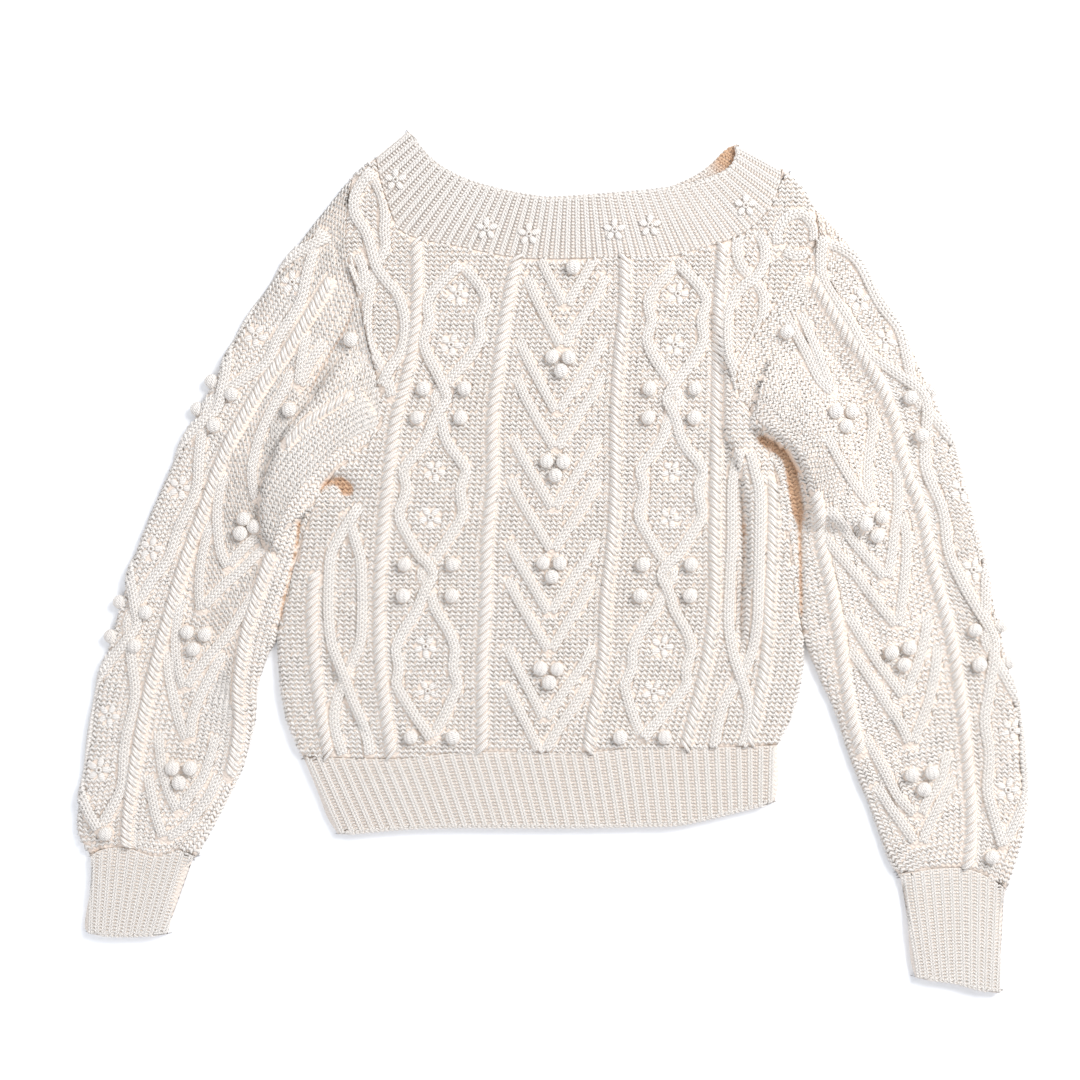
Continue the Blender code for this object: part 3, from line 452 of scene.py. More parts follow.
@dataclass
class Ground:
    """The outer face of a piece of cloth, which its stitches follow, also round its folded sides."""

    outline: Outline
    side: float = FOLD_HEIGHT       # height of its folded sides
    lowest: float = 0.0             # where the cloth ends that turns under there
    top: float = GROUND

    def inward(self, points: Array) -> tuple[Array, Array]:
        """Distance in from the nearest folded side, negative beyond it, and that side's point."""
        apart = np.full(len(points), 2 * FOLD_RADIUS)
        foot = points.copy()
        for line in self.outline.folds:
            near = nearest_on(points, line, FOLD_RADIUS)
            closer = near.apart < apart
            apart = np.where(closer, near.apart, apart)
            foot = np.where(closer[:, None], near.foot, foot)
        close = np.flatnonzero(apart < FOLD_RADIUS)
        beyond = close[~inside_polygon(points[close], self.outline.points)]
        apart[beyond] *= -1
        return apart, foot

    def holds(self, points: Array, past_fold: float, from_seam: float) -> Array:
        """Whether each point is on the piece.

        Args:
            points: plan places.
            past_fold: how far round a folded side they may lie.
            from_seam: how far they keep from a seam.
        Returns:
            A mask.
        """
        inside = inside_polygon(points, self.outline.points)
        for line in self.outline.folds:
            near = nearest_on(points, line, past_fold)
            # Past the ends of a fold its seams begin, and nothing lies round it there.
            inside |= (near.apart < past_fold) & (near.place > 0.01) & (near.place < 0.99)
        for line in self.outline.seams:
            inside &= nearest_on(points, line, from_seam + 1.0).apart > from_seam
            for corner in (line[0], line[-1]):
                inside &= np.linalg.norm(points - corner, axis=1) > 4 * from_seam
        return inside

    def rounded(self, points: Array, inward: Array) -> Array:
        """Height of the plain outer face at points that lie so far in from a folded side."""
        share = np.clip(inward / FOLD_RADIUS, 0, 1)
        over = np.sqrt(1 - (1 - share) ** 2)
        return self.side + (self.top - self.side + DRAPE.lift(points)) * over

    def height(self, points: Array) -> Array:
        """Height of the plain outer face at each point."""
        return self.rounded(points, self.inward(points)[0])

    def rolled(self, points: Array, lift: Array) -> Array:
        """Places over the outer face.

        Args:
            points: plan places, where one beyond a folded side lies as far round it.
            lift: how far each place stands off the face.
        Returns:
            Plan places and heights.
        """
        inward, foot = self.inward(points)
        out = (foot - points) * np.sign(inward)[:, None]
        length = np.hypot(out[:, 0], out[:, 1])
        out = np.where(length[:, None] > 1e-6, out / np.maximum(length, 1e-6)[:, None], 0.0)
        height = self.rounded(points, inward)
        bent = QUARTER * np.clip(-inward / ROLL, 0, 1)
        beyond = inward < 0
        plan = np.where(beyond[:, None], foot - out * (TUCK * (1 - np.cos(bent)))[:, None], points)
        height = np.where(beyond, self.side - (self.side - self.lowest) * np.sin(bent), height)
        # Near the fold the stitches turn from standing up to standing out.
        tilt = QUARTER * np.clip((4 - inward) / 8, 0, 1)
        plan = plan + out * (lift * np.sin(tilt))[:, None]
        return np.column_stack([plan, np.maximum(height + lift * np.cos(tilt), LOWEST_YARN)])


@dataclass
class Level:
    """A level face that stitches may lie on."""

    top: float

    def holds(self, points: Array, past_fold: float, from_seam: float) -> Array:
        """Whether each point is on the face, which has no end."""
        return np.ones(len(points), bool)

    def rolled(self, points: Array, lift: Array) -> Array:
        """Places over the face, for plan places and their lift."""
        return np.column_stack([points, self.top + lift])


# --- Raised stitches ---


@dataclass(frozen=True)
class Profile:
    """Cross-section of a raised strand."""

    half_width: float
    height: float

    def dome(self, sideways: Array) -> Array:
        """Height of the strand's surface so far from its middle, and nothing beyond its edge."""
        return self.height * np.sqrt(np.clip(1 - (sideways / self.half_width) ** 2, 0, 1))


ROPE = Profile(6.0, 4.2)
FOLDED_ROPE = Profile(4.6, 2.2)
STRAND = Profile(5.3, 3.6)
CHEVRON = Profile(4.9, 3.1)
RIB = Profile(3.4, 0.7)
BOBBLE_RADIUS = 6.3
BOBBLE_HEIGHT = 9.2
EDGE_BOBBLE_HEIGHT = 5.6
FLOWER_REACH = 10.0
CROSSING = 9.0              # half length of the stretch where one strand climbs over another,
CLIMB = 1.9                 # how high it climbs,
DIVE = 1.6                  # and how deep the other dives
ROPE_STEP = 3.0             # spacing of the points of a rope's line
STRAND_STEP = 2.5
LEVEL = Profile(9.0, 0.0)   # of stitches that lie on the cloth and not on a strand


@dataclass
class Strand:
    """A strand of a cable: its line, running up the knitting, and where it passes over and under."""

    line: Array
    profile: Profile
    over: tuple[float, ...] = ()
    under: tuple[float, ...] = ()
    slant: Slant = Slant.RIGHT
    fade: float = 6.0           # length over which its upper end sinks into the cloth

    def full(self, run: Array) -> Array:
        """How far the strand stands out at each distance along it, from 0 at its upper end to 1."""
        return eased((arc_lengths(self.line)[-1] - run) / self.fade)

    def near(self, points: Array, reach: float) -> Nearest:
        """How points lie to the strand, for which a coarser line will do."""
        return nearest_on(points, resample(self.line, max(2, len(self.line) // 3)), reach)

    def lift(self, run: Array) -> Array:
        """Extra height at each distance along the strand, where it crosses others."""
        rise = np.zeros_like(run)
        for places, height in ((self.over, CLIMB), (self.under, -DIVE)):
            for place in places:
                rise += height * np.exp(-((run - place) / CROSSING) ** 2)
        return rise


def uncovered(line: Array, cover: tuple) -> Array:
    """The longest unbroken part of a line that lies outside a polygon."""
    if not cover:
        return line
    outside = ~inside_polygon(line, np.array(cover, float))
    turns = np.flatnonzero(np.diff(np.concatenate([[0], outside, [0]])))
    if not len(turns):
        return line[:0]
    longest = 2 * np.argmax(turns[1::2] - turns[::2])
    return line[turns[longest]:turns[longest + 1]]


class Relief:
    """The raised stitches of one piece: strands, ropes, bobbles and flowers."""

    def __init__(self) -> None:
        """Start with none."""
        self.strands: list[Strand] = []
        self.ropes: list[Strand] = []
        self.bobbles: list[Array] = []
        self.flowers: list[Array] = []

    def pair(self, first: Array, second: Array, first_over: list[bool], marks: list[Array]) -> None:
        """Add two strands that cross each other.

        Args:
            first: points of the one, from the top down.
            second: points of the other.
            first_over: for each crossing, whether the first lies on top.
            marks: the plan places of the crossings.
        """
        lines = [smooth_line(points, step=STRAND_STEP)[::-1] for points in (first, second)]
        passes = [([], []), ([], [])]
        for mark, on_top in zip(marks, first_over):
            for k, line in enumerate(lines):
                near = np.argmin(np.linalg.norm(line - mark, axis=1))
                passes[k][0 if on_top == (k == 0) else 1].append(arc_lengths(line)[near])
        for line, (over, under) in zip(lines, passes):
            self.strands.append(Strand(line, STRAND, tuple(over), tuple(under)))

    def add_arm(self, line: Array) -> None:
        """Add one arm of a chevron, whose upper end sinks into the cloth little by little."""
        self.strands.append(Strand(line, CHEVRON, fade=14.0))

    def rise(self, points: Array) -> Array:
        """How far the raised stitches stand over the ground at each point."""
        top = np.zeros(len(points))
        for strand in self.strands + self.ropes:
            near = strand.near(points, strand.profile.half_width)
            full = strand.full(near.place * arc_lengths(strand.line)[-1])
            top = np.maximum(top, strand.profile.dome(near.apart) * full)
        for spot in self.bobbles:
            apart = np.linalg.norm(points - spot, axis=1) / BOBBLE_RADIUS
            top = np.maximum(top, 0.5 * BOBBLE_HEIGHT * np.sqrt(np.clip(1 - apart ** 2, 0, 1)))
        return top

    def free(self, points: Array) -> Array:
        """Whether each point is clear of everything raised."""
        clear = np.ones(len(points), bool)
        for strand in self.strands + self.ropes:
            near = strand.near(points, 9.0)
            clear &= (near.apart > strand.profile.half_width + 0.2) | (near.place > 0.999)
        for spots, reach in ((self.bobbles, BOBBLE_RADIUS - 0.6), (self.flowers, FLOWER_REACH - 1.2)):
            for spot in spots:
                clear &= np.linalg.norm(points - spot, axis=1) > reach
        return clear


# --- Stitches, each modelled once ---


class Stitch(NamedTuple):
    """One modelled stitch, X across the wales, Y up the knitting and Z off the cloth."""

    points: Array
    faces: list[tuple[int, ...]]
    grain: Array            # along and across the yarn, for its twist

    def mirrored(self) -> "Stitch":
        """The same stitch the other way round."""
        flip = np.array([-1.0, 1.0, 1.0])
        return Stitch(self.points * flip, [face[::-1] for face in self.faces],
                      self.grain * (1.0, -1.0))


def turn(angle: float, axis: str) -> None:
    """Turn what is selected about an axis through the origin."""
    bpy.ops.transform.rotate(value=angle, orient_axis=axis, center_override=(0, 0, 0))


def stretch(size: tuple[float, float, float]) -> None:
    """Stretch what is selected along X, Y and Z, from the origin."""
    bpy.ops.transform.resize(value=size, center_override=(0, 0, 0))


def add_ball(segments: int = 4, rings: int = 3, radius: float = 0.5) -> None:
    """Add a ball to the mesh that is being edited, as all that is selected there."""
    bpy.ops.mesh.select_all(action="DESELECT")
    bpy.ops.mesh.primitive_uv_sphere_add(segments=segments, ring_count=rings, radius=radius)


def taken_up(axis: int) -> Stitch:
    """End the editing and take the mesh away as a stitch.

    Args:
        axis: the axis that the yarn runs along, 0 or 1.
    Returns:
        The stitch, with its size and place in millimetres.
    """
    bpy.ops.mesh.select_all(action="SELECT")
    bpy.ops.mesh.normals_make_consistent(inside=False)
    bpy.ops.object.mode_set(mode="OBJECT")
    made = bpy.context.object
    points = np.array([tuple(v.co) for v in made.data.vertices])
    faces = [tuple(face.vertices) for face in made.data.polygons]
    grain = points[:, [axis, 1 - axis]].copy()
    mesh = made.data
    bpy.data.objects.remove(made)
    bpy.data.meshes.remove(mesh)
    return Stitch(points, faces, grain)


@dataclass(frozen=True)
class YarnBead:
    """A length of yarn that is drawn out ring by ring, such as the arc of a purl stitch."""

    stations: tuple[tuple[float, float, float, float], ...]     # x, y, z and thickness, in order
    radius: float
    sides: int = 3

    def model(self) -> Stitch:
        """Draw the bead out of a small face and close it at both ends."""
        bpy.ops.object.select_all(action="DESELECT")
        x, y, z, thick = self.stations[0]
        bpy.ops.mesh.primitive_circle_add(vertices=self.sides, radius=self.radius, fill_type="NGON",
                                          location=(0, 0, 0))
        bpy.ops.object.mode_set(mode="EDIT")
        for axis in "ZXZ":
            turn(QUARTER, axis)
        stretch((1, thick, thick))
        bpy.ops.transform.translate(value=(x, y, z))
        for (ax, ay, az, at), (bx, by, bz, bt) in zip(self.stations, self.stations[1:]):
            bpy.ops.mesh.extrude_region_move(
                TRANSFORM_OT_translate={"value": (bx - ax, by - ay, bz - az)})
            bpy.ops.transform.resize(value=(1, bt / at, bt / at), center_override=(bx, by, bz))
        return taken_up(0)


@dataclass(frozen=True)
class LegBead:
    """One leg of a knit stitch: a short length of yarn that tapers into its neighbours."""

    length: float = 6.6
    width: float = 2.9
    height: float = 3.0
    lean: float = 0.36
    fullness: float = 1.15          # a ball of four sides is slimmer than its size

    def model(self) -> Stitch:
        """Shape the leg from a small four-sided ball, with its upper end leaning out to the right."""
        bpy.ops.object.select_all(action="DESELECT")
        bpy.ops.mesh.primitive_uv_sphere_add(segments=4, ring_count=3, radius=0.5)
        bpy.ops.object.mode_set(mode="EDIT")
        turn(QUARTER, "X")
        stretch((self.fullness * self.width, self.length, self.fullness * self.height))
        turn(self.lean, "Z")
        made = taken_up(1)
        rightwards = made.points[np.argmax(made.points[:, 1]), 0]
        return made if rightwards > 0 else made.mirrored()


@dataclass(frozen=True)
class BobbleBall:
    """A bobble: a tight ball of a few knit rows, whose legs stand a little off it."""

    segments: int = 14
    rings: int = 9
    wales: tuple[float, ...] = (-1.05, -0.35, 0.35, 1.05)
    rows: tuple[float, ...] = (-1.2, -0.72, -0.24, 0.24, 0.72, 1.2)
    leg: tuple[float, float, float] = (5.4, 6.4, 2.4)
    lean: float = 0.4
    let_in: float = 0.78            # how deep the middle of a leg lies in the ball
    shape: tuple[float, float, float] = (1.06, 1.0, 0.84)

    def model(self) -> Stitch:
        """Wrap a ball in legs that lean by turns to the left and to the right."""
        bpy.ops.object.select_all(action="DESELECT")
        core = BOBBLE_RADIUS - 0.1
        bpy.ops.mesh.primitive_uv_sphere_add(segments=self.segments, ring_count=self.rings, radius=core)
        bpy.ops.object.mode_set(mode="EDIT")
        for k, wale in enumerate(self.wales):
            for row in self.rows:
                add_ball()
                turn(QUARTER, "X")
                stretch(self.leg)
                turn(self.lean if k % 2 else -self.lean, "Z")
                bpy.ops.transform.translate(value=(0, 0, core - self.let_in))
                turn(row, "X")
                turn(wale, "Y")
        bpy.ops.mesh.select_all(action="SELECT")
        stretch(self.shape)
        return taken_up(1)


@dataclass(frozen=True)
class FlowerKnot:
    """A small flower: soft flat petals round a tiny ring of yarn."""

    petals: int = 5
    petal_size: tuple[float, float, float] = (6.4, 9.6, 2.4)
    reach: float = 6.6
    ring_radius: float = 2.1
    yarn: float = 1.15

    def model(self) -> Stitch:
        """Lay the petals round the middle ring."""
        bpy.ops.object.select_all(action="DESELECT")
        bpy.ops.mesh.primitive_torus_add(major_segments=12, minor_segments=4,
                                         major_radius=self.ring_radius, minor_radius=self.yarn)
        bpy.ops.object.mode_set(mode="EDIT")
        bpy.ops.transform.translate(value=(0, 0, 1.5))
        for petal in range(self.petals):
            add_ball(8, 5)
            stretch(self.petal_size)
            bpy.ops.transform.translate(value=(0, self.reach, 0.4))
            turn(petal * 2 * math.pi / self.petals, "Z")
        return taken_up(0)


class Pouch(NamedTuple):
    """Every stitch that the pullover is made of."""

    purl: Stitch
    bar: Stitch
    leg: Stitch
    stroke: Stitch
    bobble: Stitch
    flower: Stitch


def cut_stitches() -> Pouch:
    """Model each kind of stitch once."""
    arc = [(x, 1.15 * math.cos(2 * math.pi * x / WALE), 0.35 * math.cos(4 * math.pi * x / WALE) + 0.1, 1.0)
           for x in (-2.7, -1.3, 0.0, 1.3, 2.7)]
    bar = [(-2.3, -0.35, -0.3, 0.8), (0.0, 0.3, 0.5, 1.0), (2.3, -0.35, -0.3, 0.8)]
    stroke = [(-5.8, -4.6, -0.9, 0.55), (-3.8, -3.1, 0.0, 0.95), (0.0, 0.0, 0.25, 1.1),
              (3.8, 3.1, 0.0, 0.95), (5.8, 4.6, -0.9, 0.55)]
    return Pouch(
        purl=YarnBead(tuple(arc), 1.85, 4).model(),
        bar=YarnBead(tuple(bar), 1.25).model(),
        leg=LegBead().model(),
        stroke=YarnBead(tuple(stroke), 2.05, 4).model(),
        bobble=BobbleBall().model(),
        flower=FlowerKnot().model(),
    )


# --- Finishes ---


def linear(code: str) -> tuple[float, float, float, float]:
    """A colour from its sRGB hex value, in linear light."""
    parts = [int(code[k:k + 2], 16) / 255 for k in (1, 3, 5)]
    return (*[p / 12.92 if p <= 0.04045 else ((p + 0.055) / 1.055) ** 2.4 for p in parts], 1.0)


def add_node(tree: bpy.types.NodeTree, kind: str, inputs: dict | None = None, **settings: object) -> object:
    """Add a node with its settings and links.

    Args:
        tree: the material's node tree.
        kind: the node's type.
        inputs: values, or sockets to link from, by the input's name or number.
        settings: the node's own properties.
    Returns:
        The node.
    """
    node = tree.nodes.new(kind)
    for name, value in settings.items():
        setattr(node, name, value)
    for name, value in (inputs or {}).items():
        if isinstance(value, bpy.types.NodeSocket):
            tree.links.new(value, node.inputs[name])
        else:
            node.inputs[name].default_value = value
    return node


def add_sum(tree: bpy.types.NodeTree, operation: str, *inputs: object) -> object:
    """Add a maths node and give its result's socket."""
    return add_node(tree, "ShaderNodeMath", dict(enumerate(inputs)), operation=operation).outputs[0]


def add_noise(tree: bpy.types.NodeTree, place: object, scale: float, detail: float) -> object:
    """Add a noise over the object and give its value's socket."""
    noise = add_node(tree, "ShaderNodeTexNoise", {"Vector": place, "Scale": scale, "Detail": detail})
    return noise.outputs["Fac"]


@dataclass(frozen=True)
class HandKnitWool:
    """Undyed merino, spun thick and loosely plied, so it is matt with a soft bloom of fibres."""

    name: str
    pale: str
    warm: str
    twisted: bool                   # drawn along the yarn of single stitches, not over a cloth
    roughness: float = 0.92
    sheen: float = 0.35
    ply: float = 2.1                # millimetres from one turn of the plies to the next
    fibre: float = 0.55             # millimetres; real fibres are far finer and wouldn't show
    bloom: str = "#FFF8EC"
    # the colour of the shade painted down in folds and in the neck's opening
    amber_shade: str = "#DDB592"

    def material(self) -> bpy.types.Material:
        """Make the material with its colour, its painted amber shade, its plies or stitches, and its
        fibres.
        """
        made = bpy.data.materials.new(self.name)
        made.use_nodes = True
        tree = made.node_tree
        shader = tree.nodes["Principled BSDF"]
        for name, value in (("Roughness", self.roughness), ("Metallic", 0.0), ("IOR", 1.54),
                            ("Specular IOR Level", 0.2), ("Sheen Weight", self.sheen),
                            ("Sheen Roughness", 0.5), ("Sheen Tint", linear(self.bloom))):
            shader.inputs[name].default_value = value
        place = add_node(tree, "ShaderNodeTexCoord").outputs["Object"]
        # Undyed wool is never one even colour: patches of a few centimetres, and mottling within the yarn.
        patches = add_noise(tree, place, 22.0, 2.0)
        mottle = add_noise(tree, place, 420.0, 1.0)
        blend = add_sum(tree, "MULTIPLY_ADD", patches, mottle, 0.12)
        colour = add_node(tree, "ShaderNodeMix", {"Factor": blend, 6: linear(self.pale),
                                                  7: linear(self.warm)}, data_type="RGBA")
        # Painted shade: down in a fold the colour is mixed towards amber, for the light that has come
        # through wool there.
        painted_shade = add_node(tree, "ShaderNodeAttribute", attribute_name="painted_shade").outputs["Fac"]
        amber_shade = add_node(tree, "ShaderNodeMix", {"Factor": painted_shade, 6: colour.outputs[2],
                                                 7: linear(self.amber_shade)}, data_type="RGBA")
        tree.links.new(amber_shade.outputs[2], shader.inputs["Base Color"])
        fibres = add_noise(tree, place, 1 / (self.fibre * MM), 2.0)
        raised = self.plies(tree) if self.twisted else self.stitches(tree, place)
        low = add_node(tree, "ShaderNodeBump", {"Height": raised, "Distance": 0.45 * MM, "Strength": 0.7})
        fine = add_node(tree, "ShaderNodeBump", {"Height": fibres, "Distance": 0.35 * MM,
                                                 "Strength": 0.45, "Normal": low.outputs["Normal"]})
        tree.links.new(fine.outputs["Normal"], shader.inputs["Normal"])
        return made

    def plies(self, tree: bpy.types.NodeTree) -> object:
        """The grooves between the plies, slanting across the yarn, as a height socket."""
        grain = add_node(tree, "ShaderNodeAttribute", attribute_name="grain").outputs["Vector"]
        turns = 2 * math.pi / self.ply
        wound = add_node(tree, "ShaderNodeVectorMath", {0: grain, 1: (turns, 0.8 * turns, 0.0)},
                         operation="DOT_PRODUCT")
        return add_sum(tree, "SINE", wound.outputs["Value"])

    def stitches(self, tree: bpy.types.NodeTree, place: object) -> object:
        """Rows of purl arcs at the real gauge, as a height socket."""
        axes = add_node(tree, "ShaderNodeSeparateXYZ", {0: place})
        wale = add_sum(tree, "MULTIPLY", axes.outputs["X"], 2 * math.pi / (WALE * MM))
        course = add_sum(tree, "MULTIPLY", axes.outputs["Y"], 2 * math.pi / (COURSE * MM))
        shifted = add_sum(tree, "MULTIPLY_ADD", add_sum(tree, "COSINE", wale), 1.3, course)
        return add_sum(tree, "SINE", shifted)


class Finish:
    """The finishes of the pullover, made once."""

    def __init__(self) -> None:
        """Make each finish."""
        # The raised yarn catches the light and is the palest; the finishes below are the same wool with
        # shade painted in.
        self.yarn = self.wool("yarn", "#F5F0EA", "#F1E7DC", True)
        # Painted shade: between the stitches light has crossed more wool, so the ground cloth is painted
        # warmer and deeper than the yarn.
        self.ground = self.wool("ground", "#F2E4D7", "#ECD8C6", False)
        # Behind the ribs the cloth is drawn together and lies in more shade, so it looks greyer.
        self.rib_ground = self.wool("ribbing", "#EFE4D9", "#E8D9CB", False)
        # Down in the furrows of wide ribbing the yarn is always in some shade.
        self.furrow = self.wool("furrows", "#F1E9E1", "#EBE0D5", True)

    def wool(self, part: str, pale: str, warm: str, twisted: bool) -> bpy.types.Material:
        """The wool as it looks in one part of the knitting."""
        return HandKnitWool(f"merino_{part}_hand_knitted", pale, warm, twisted).material()


# --- Making meshes ---


def add_bake_map(mesh: bpy.types.Mesh) -> None:
    """Give a mesh its plan as a UV map, leaning a little so that upright faces have some width."""
    layer = mesh.uv_layers.new(name="OFBake")
    count = len(mesh.vertices)
    points = np.empty(3 * count)
    mesh.vertices.foreach_get("co", points)
    points = points.reshape(-1, 3)
    plan = points[:, :2] + 0.4 * points[:, 2:]
    low = plan.min(axis=0)
    margin = 0.005
    plan = margin + (1 - 2 * margin) * (plan - low) / (plan.max(axis=0) - low)
    corner = np.empty(len(mesh.loops), int)
    mesh.loops.foreach_get("vertex_index", corner)
    layer.data.foreach_set("uv", plan[corner].ravel())


def to_object(name: str, points: Array, faces: list, material: bpy.types.Material, slot: Slot,
              grain: Array | None = None, recalculated: bool = False) -> Object:
    """Make a piece that rides on the garment.

    Args:
        name: the piece's name.
        points: plan places and heights in millimetres.
        faces: the faces, as places in the points.
        material: its finish.
        slot: the record's slot that the finish stands for; not used.
        grain: the yarn's own coordinates at each point, if it has them.
        recalculated: whether the faces are turned outwards first.
    Returns:
        The object.
    """
    mesh = bpy.data.meshes.new(name)
    mesh.from_pydata(placed(points).tolist(), [], faces)
    if recalculated:
        work = bmesh.new()
        work.from_mesh(mesh)
        bmesh.ops.recalc_face_normals(work, faces=work.faces)
        if work.calc_volume(signed=True) < 0:
            bmesh.ops.reverse_faces(work, faces=work.faces)
        work.to_mesh(mesh)
        work.free()
    mesh.shade_smooth()
    add_bake_map(mesh)
    # The share of painted amber shade at each point, for the material to mix in.
    mesh.attributes.new("painted_shade", "FLOAT", "POINT").data.foreach_set("value", DRAPE.painted_shade(points))
    if grain is not None:
        mesh.attributes.new("grain", "FLOAT_VECTOR", "POINT").data.foreach_set("vector", grain.ravel())
    made = bpy.data.objects.new(name, mesh)
    bpy.context.scene.collection.objects.link(made)
    mesh.materials.append(material)
    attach(made, "root")
    triangles = sum(len(face) - 2 for face in faces)
    LOG.info("%s: %d triangles", name, triangles)
    return made


class Yarnwork:
    """Stitches laid on a piece of cloth and joined into one mesh."""

    def __init__(self, ground: Ground | Level, seed: int, from_seam: float = 1.2) -> None:
        """Start with no stitches on a face, with a seed for the hand's small unevenness."""
        self.ground = ground
        self.from_seam = from_seam
        self.chance = np.random.default_rng(seed)
        self.points: list[Array] = []
        self.grain: list[Array] = []
        self.faces: list[Array] = []
        self.count = 0

    def gather(self, stitch: Stitch, points: Array) -> None:
        """Take in copies of a stitch whose points are already in place."""
        copies, size = len(points), len(stitch.points)
        if not copies:
            return
        self.points.append(points.reshape(-1, 3))
        shade = self.chance.random((copies, 1, 1))
        grain = np.broadcast_to(stitch.grain, (copies, size, 2))
        self.grain.append(np.concatenate([grain, np.broadcast_to(shade, (copies, size, 1))],
                                         axis=2).reshape(-1, 3))
        starts = self.count + size * np.arange(copies)
        for sides in {len(face) for face in stitch.faces}:
            kind = np.array([face for face in stitch.faces if len(face) == sides])
            self.faces.append((starts[:, None, None] + kind[None]).reshape(-1, sides))
        self.count += copies * size

    def lay(self, stitch: Stitch, centres: Array, across: Array, up: Array,
            scale: float | tuple[float, float, float] = 1.0, sunk: Array | float = 0.0) -> None:
        """Lay copies that follow the cloth.

        Args:
            stitch: the stitch.
            centres: its plan places.
            across: what one millimetre across the wales is at each place.
            up: what one millimetre up the knitting is.
            scale: size of the copies.
            sunk: how far they are let into the cloth.
        """
        local = stitch.points * scale
        plan = (centres[:, None] + local[None, :, :1] * across[:, None]
                + local[None, :, 1:2] * up[:, None])
        lift = np.broadcast_to(local[None, :, 2], plan.shape[:2]) - np.reshape(sunk, (-1, 1))
        points = self.ground.rolled(plan.reshape(-1, 2), lift.ravel())
        self.gather(stitch, points.reshape(plan.shape[0], -1, 3))

    def follow(self, stitch: Stitch, strand: Strand, run: Array, sideways: Array,
               scale: tuple[float, float, float] = (1.0, 1.0, 1.0)) -> None:
        """Lay copies along a strand.

        Args:
            stitch: the stitch.
            strand: the strand that it is part of.
            run: how far along the strand each copy is.
            sideways: how far to the right of its middle.
            scale: size of the copies, across, along and up.
        """
        local = stitch.points * scale
        line = strand.line
        lengths = arc_lengths(line)
        tables = (*line.T, *normals_of(line).T)
        x, y, nx, ny = (np.interp(run, lengths, values) for values in tables)
        kept = self.ground.holds(np.column_stack([x - sideways * nx, y - sideways * ny]), 5.0,
                                 self.from_seam)
        run, sideways = run[kept], sideways[kept]
        if not len(run):
            return
        along = run[:, None] + local[None, :, 1]
        aside = sideways[:, None] + local[None, :, 0]
        x, y, nx, ny = (np.interp(along, lengths, values) for values in tables)
        plan = np.stack([x - aside * nx, y - aside * ny], axis=-1)
        lift = local[None, :, 2] + strand.profile.dome(aside) * strand.full(along) + strand.lift(along)
        points = self.ground.rolled(plan.reshape(-1, 2), lift.ravel())
        self.gather(stitch, points.reshape(len(run), -1, 3))

    def stand(self, stitch: Stitch, centres: Array, turned: float = 0.35) -> None:
        """Stand unbent copies at places and heights, each turned a little its own way."""
        angle = self.chance.uniform(-turned, turned, len(centres))
        size = self.chance.uniform(0.95, 1.04, (len(centres), 1, 1))
        cos, sin = np.cos(angle)[:, None], np.sin(angle)[:, None]
        x, y, z = stitch.points.T
        local = np.stack([x * cos - y * sin, x * sin + y * cos, np.broadcast_to(z, (len(centres), len(z)))],
                         axis=-1)
        self.gather(stitch, centres[:, None] + size * local)

    def knit(self, leg: Stitch, strand: Strand, run: Array, wales: list, scale: tuple) -> None:
        """Lay wales of knit stitches along a strand, two legs each.

        Args:
            leg: the right leg.
            strand: the strand.
            run: how far along it each stitch is.
            wales: for each, its middle and how far its legs lie to the sides of that.
            scale: size of the copies, across, along and up.
        """
        for middle, aside in wales:
            for side, shift in ((leg.mirrored(), -aside), (leg, aside)):
                self.follow(side, strand, run, np.full(len(run), middle + shift), scale)

    def to_object(self, name: str, finish: bpy.types.Material, slot: Slot) -> Object:
        """Join the stitches into one piece."""
        faces = [tuple(face) for kind in self.faces for face in kind.tolist()]
        return to_object(name, np.concatenate(self.points), faces, finish, slot,
                         np.concatenate(self.grain))


def meshed(polygon: Array, step: float) -> tuple[Array, list, list]:
    """Even triangles over a polygon.

    Args:
        polygon: the closed polygon.
        step: the wanted length of their sides.
    Returns:
        The points, the faces, and the place in the points of each of the polygon's own.
    """
    low, high = polygon.min(axis=0), polygon.max(axis=0)
    grid = []
    for k, y in enumerate(np.arange(low[1], high[1], step * 0.87)):
        xs = np.arange(low[0] + (k % 2) * step / 2, high[0], step)
        grid.append(np.column_stack([xs, np.full(len(xs), y)]))
    inner = np.vstack(grid)
    inner = inner[inside_polygon(inner, polygon)]
    inner = inner[nearest_on(inner, np.vstack([polygon, polygon[:1]])).apart > 0.55 * step]
    points = [Vector(point) for point in np.vstack([polygon, inner])]
    found = delaunay_2d_cdt(points, [], [list(range(len(polygon)))], 0, 1e-4, True)
    place = {old: new for new, olds in enumerate(found[3]) for old in olds}
    flat = np.array([tuple(point) for point in found[0]])
    faces = np.array([tuple(face) for face in found[2]])
    faces = faces[inside_polygon(flat[faces].mean(axis=1), polygon)]
    return flat, [tuple(face) for face in faces.tolist()], [place[k] for k in range(len(polygon))]


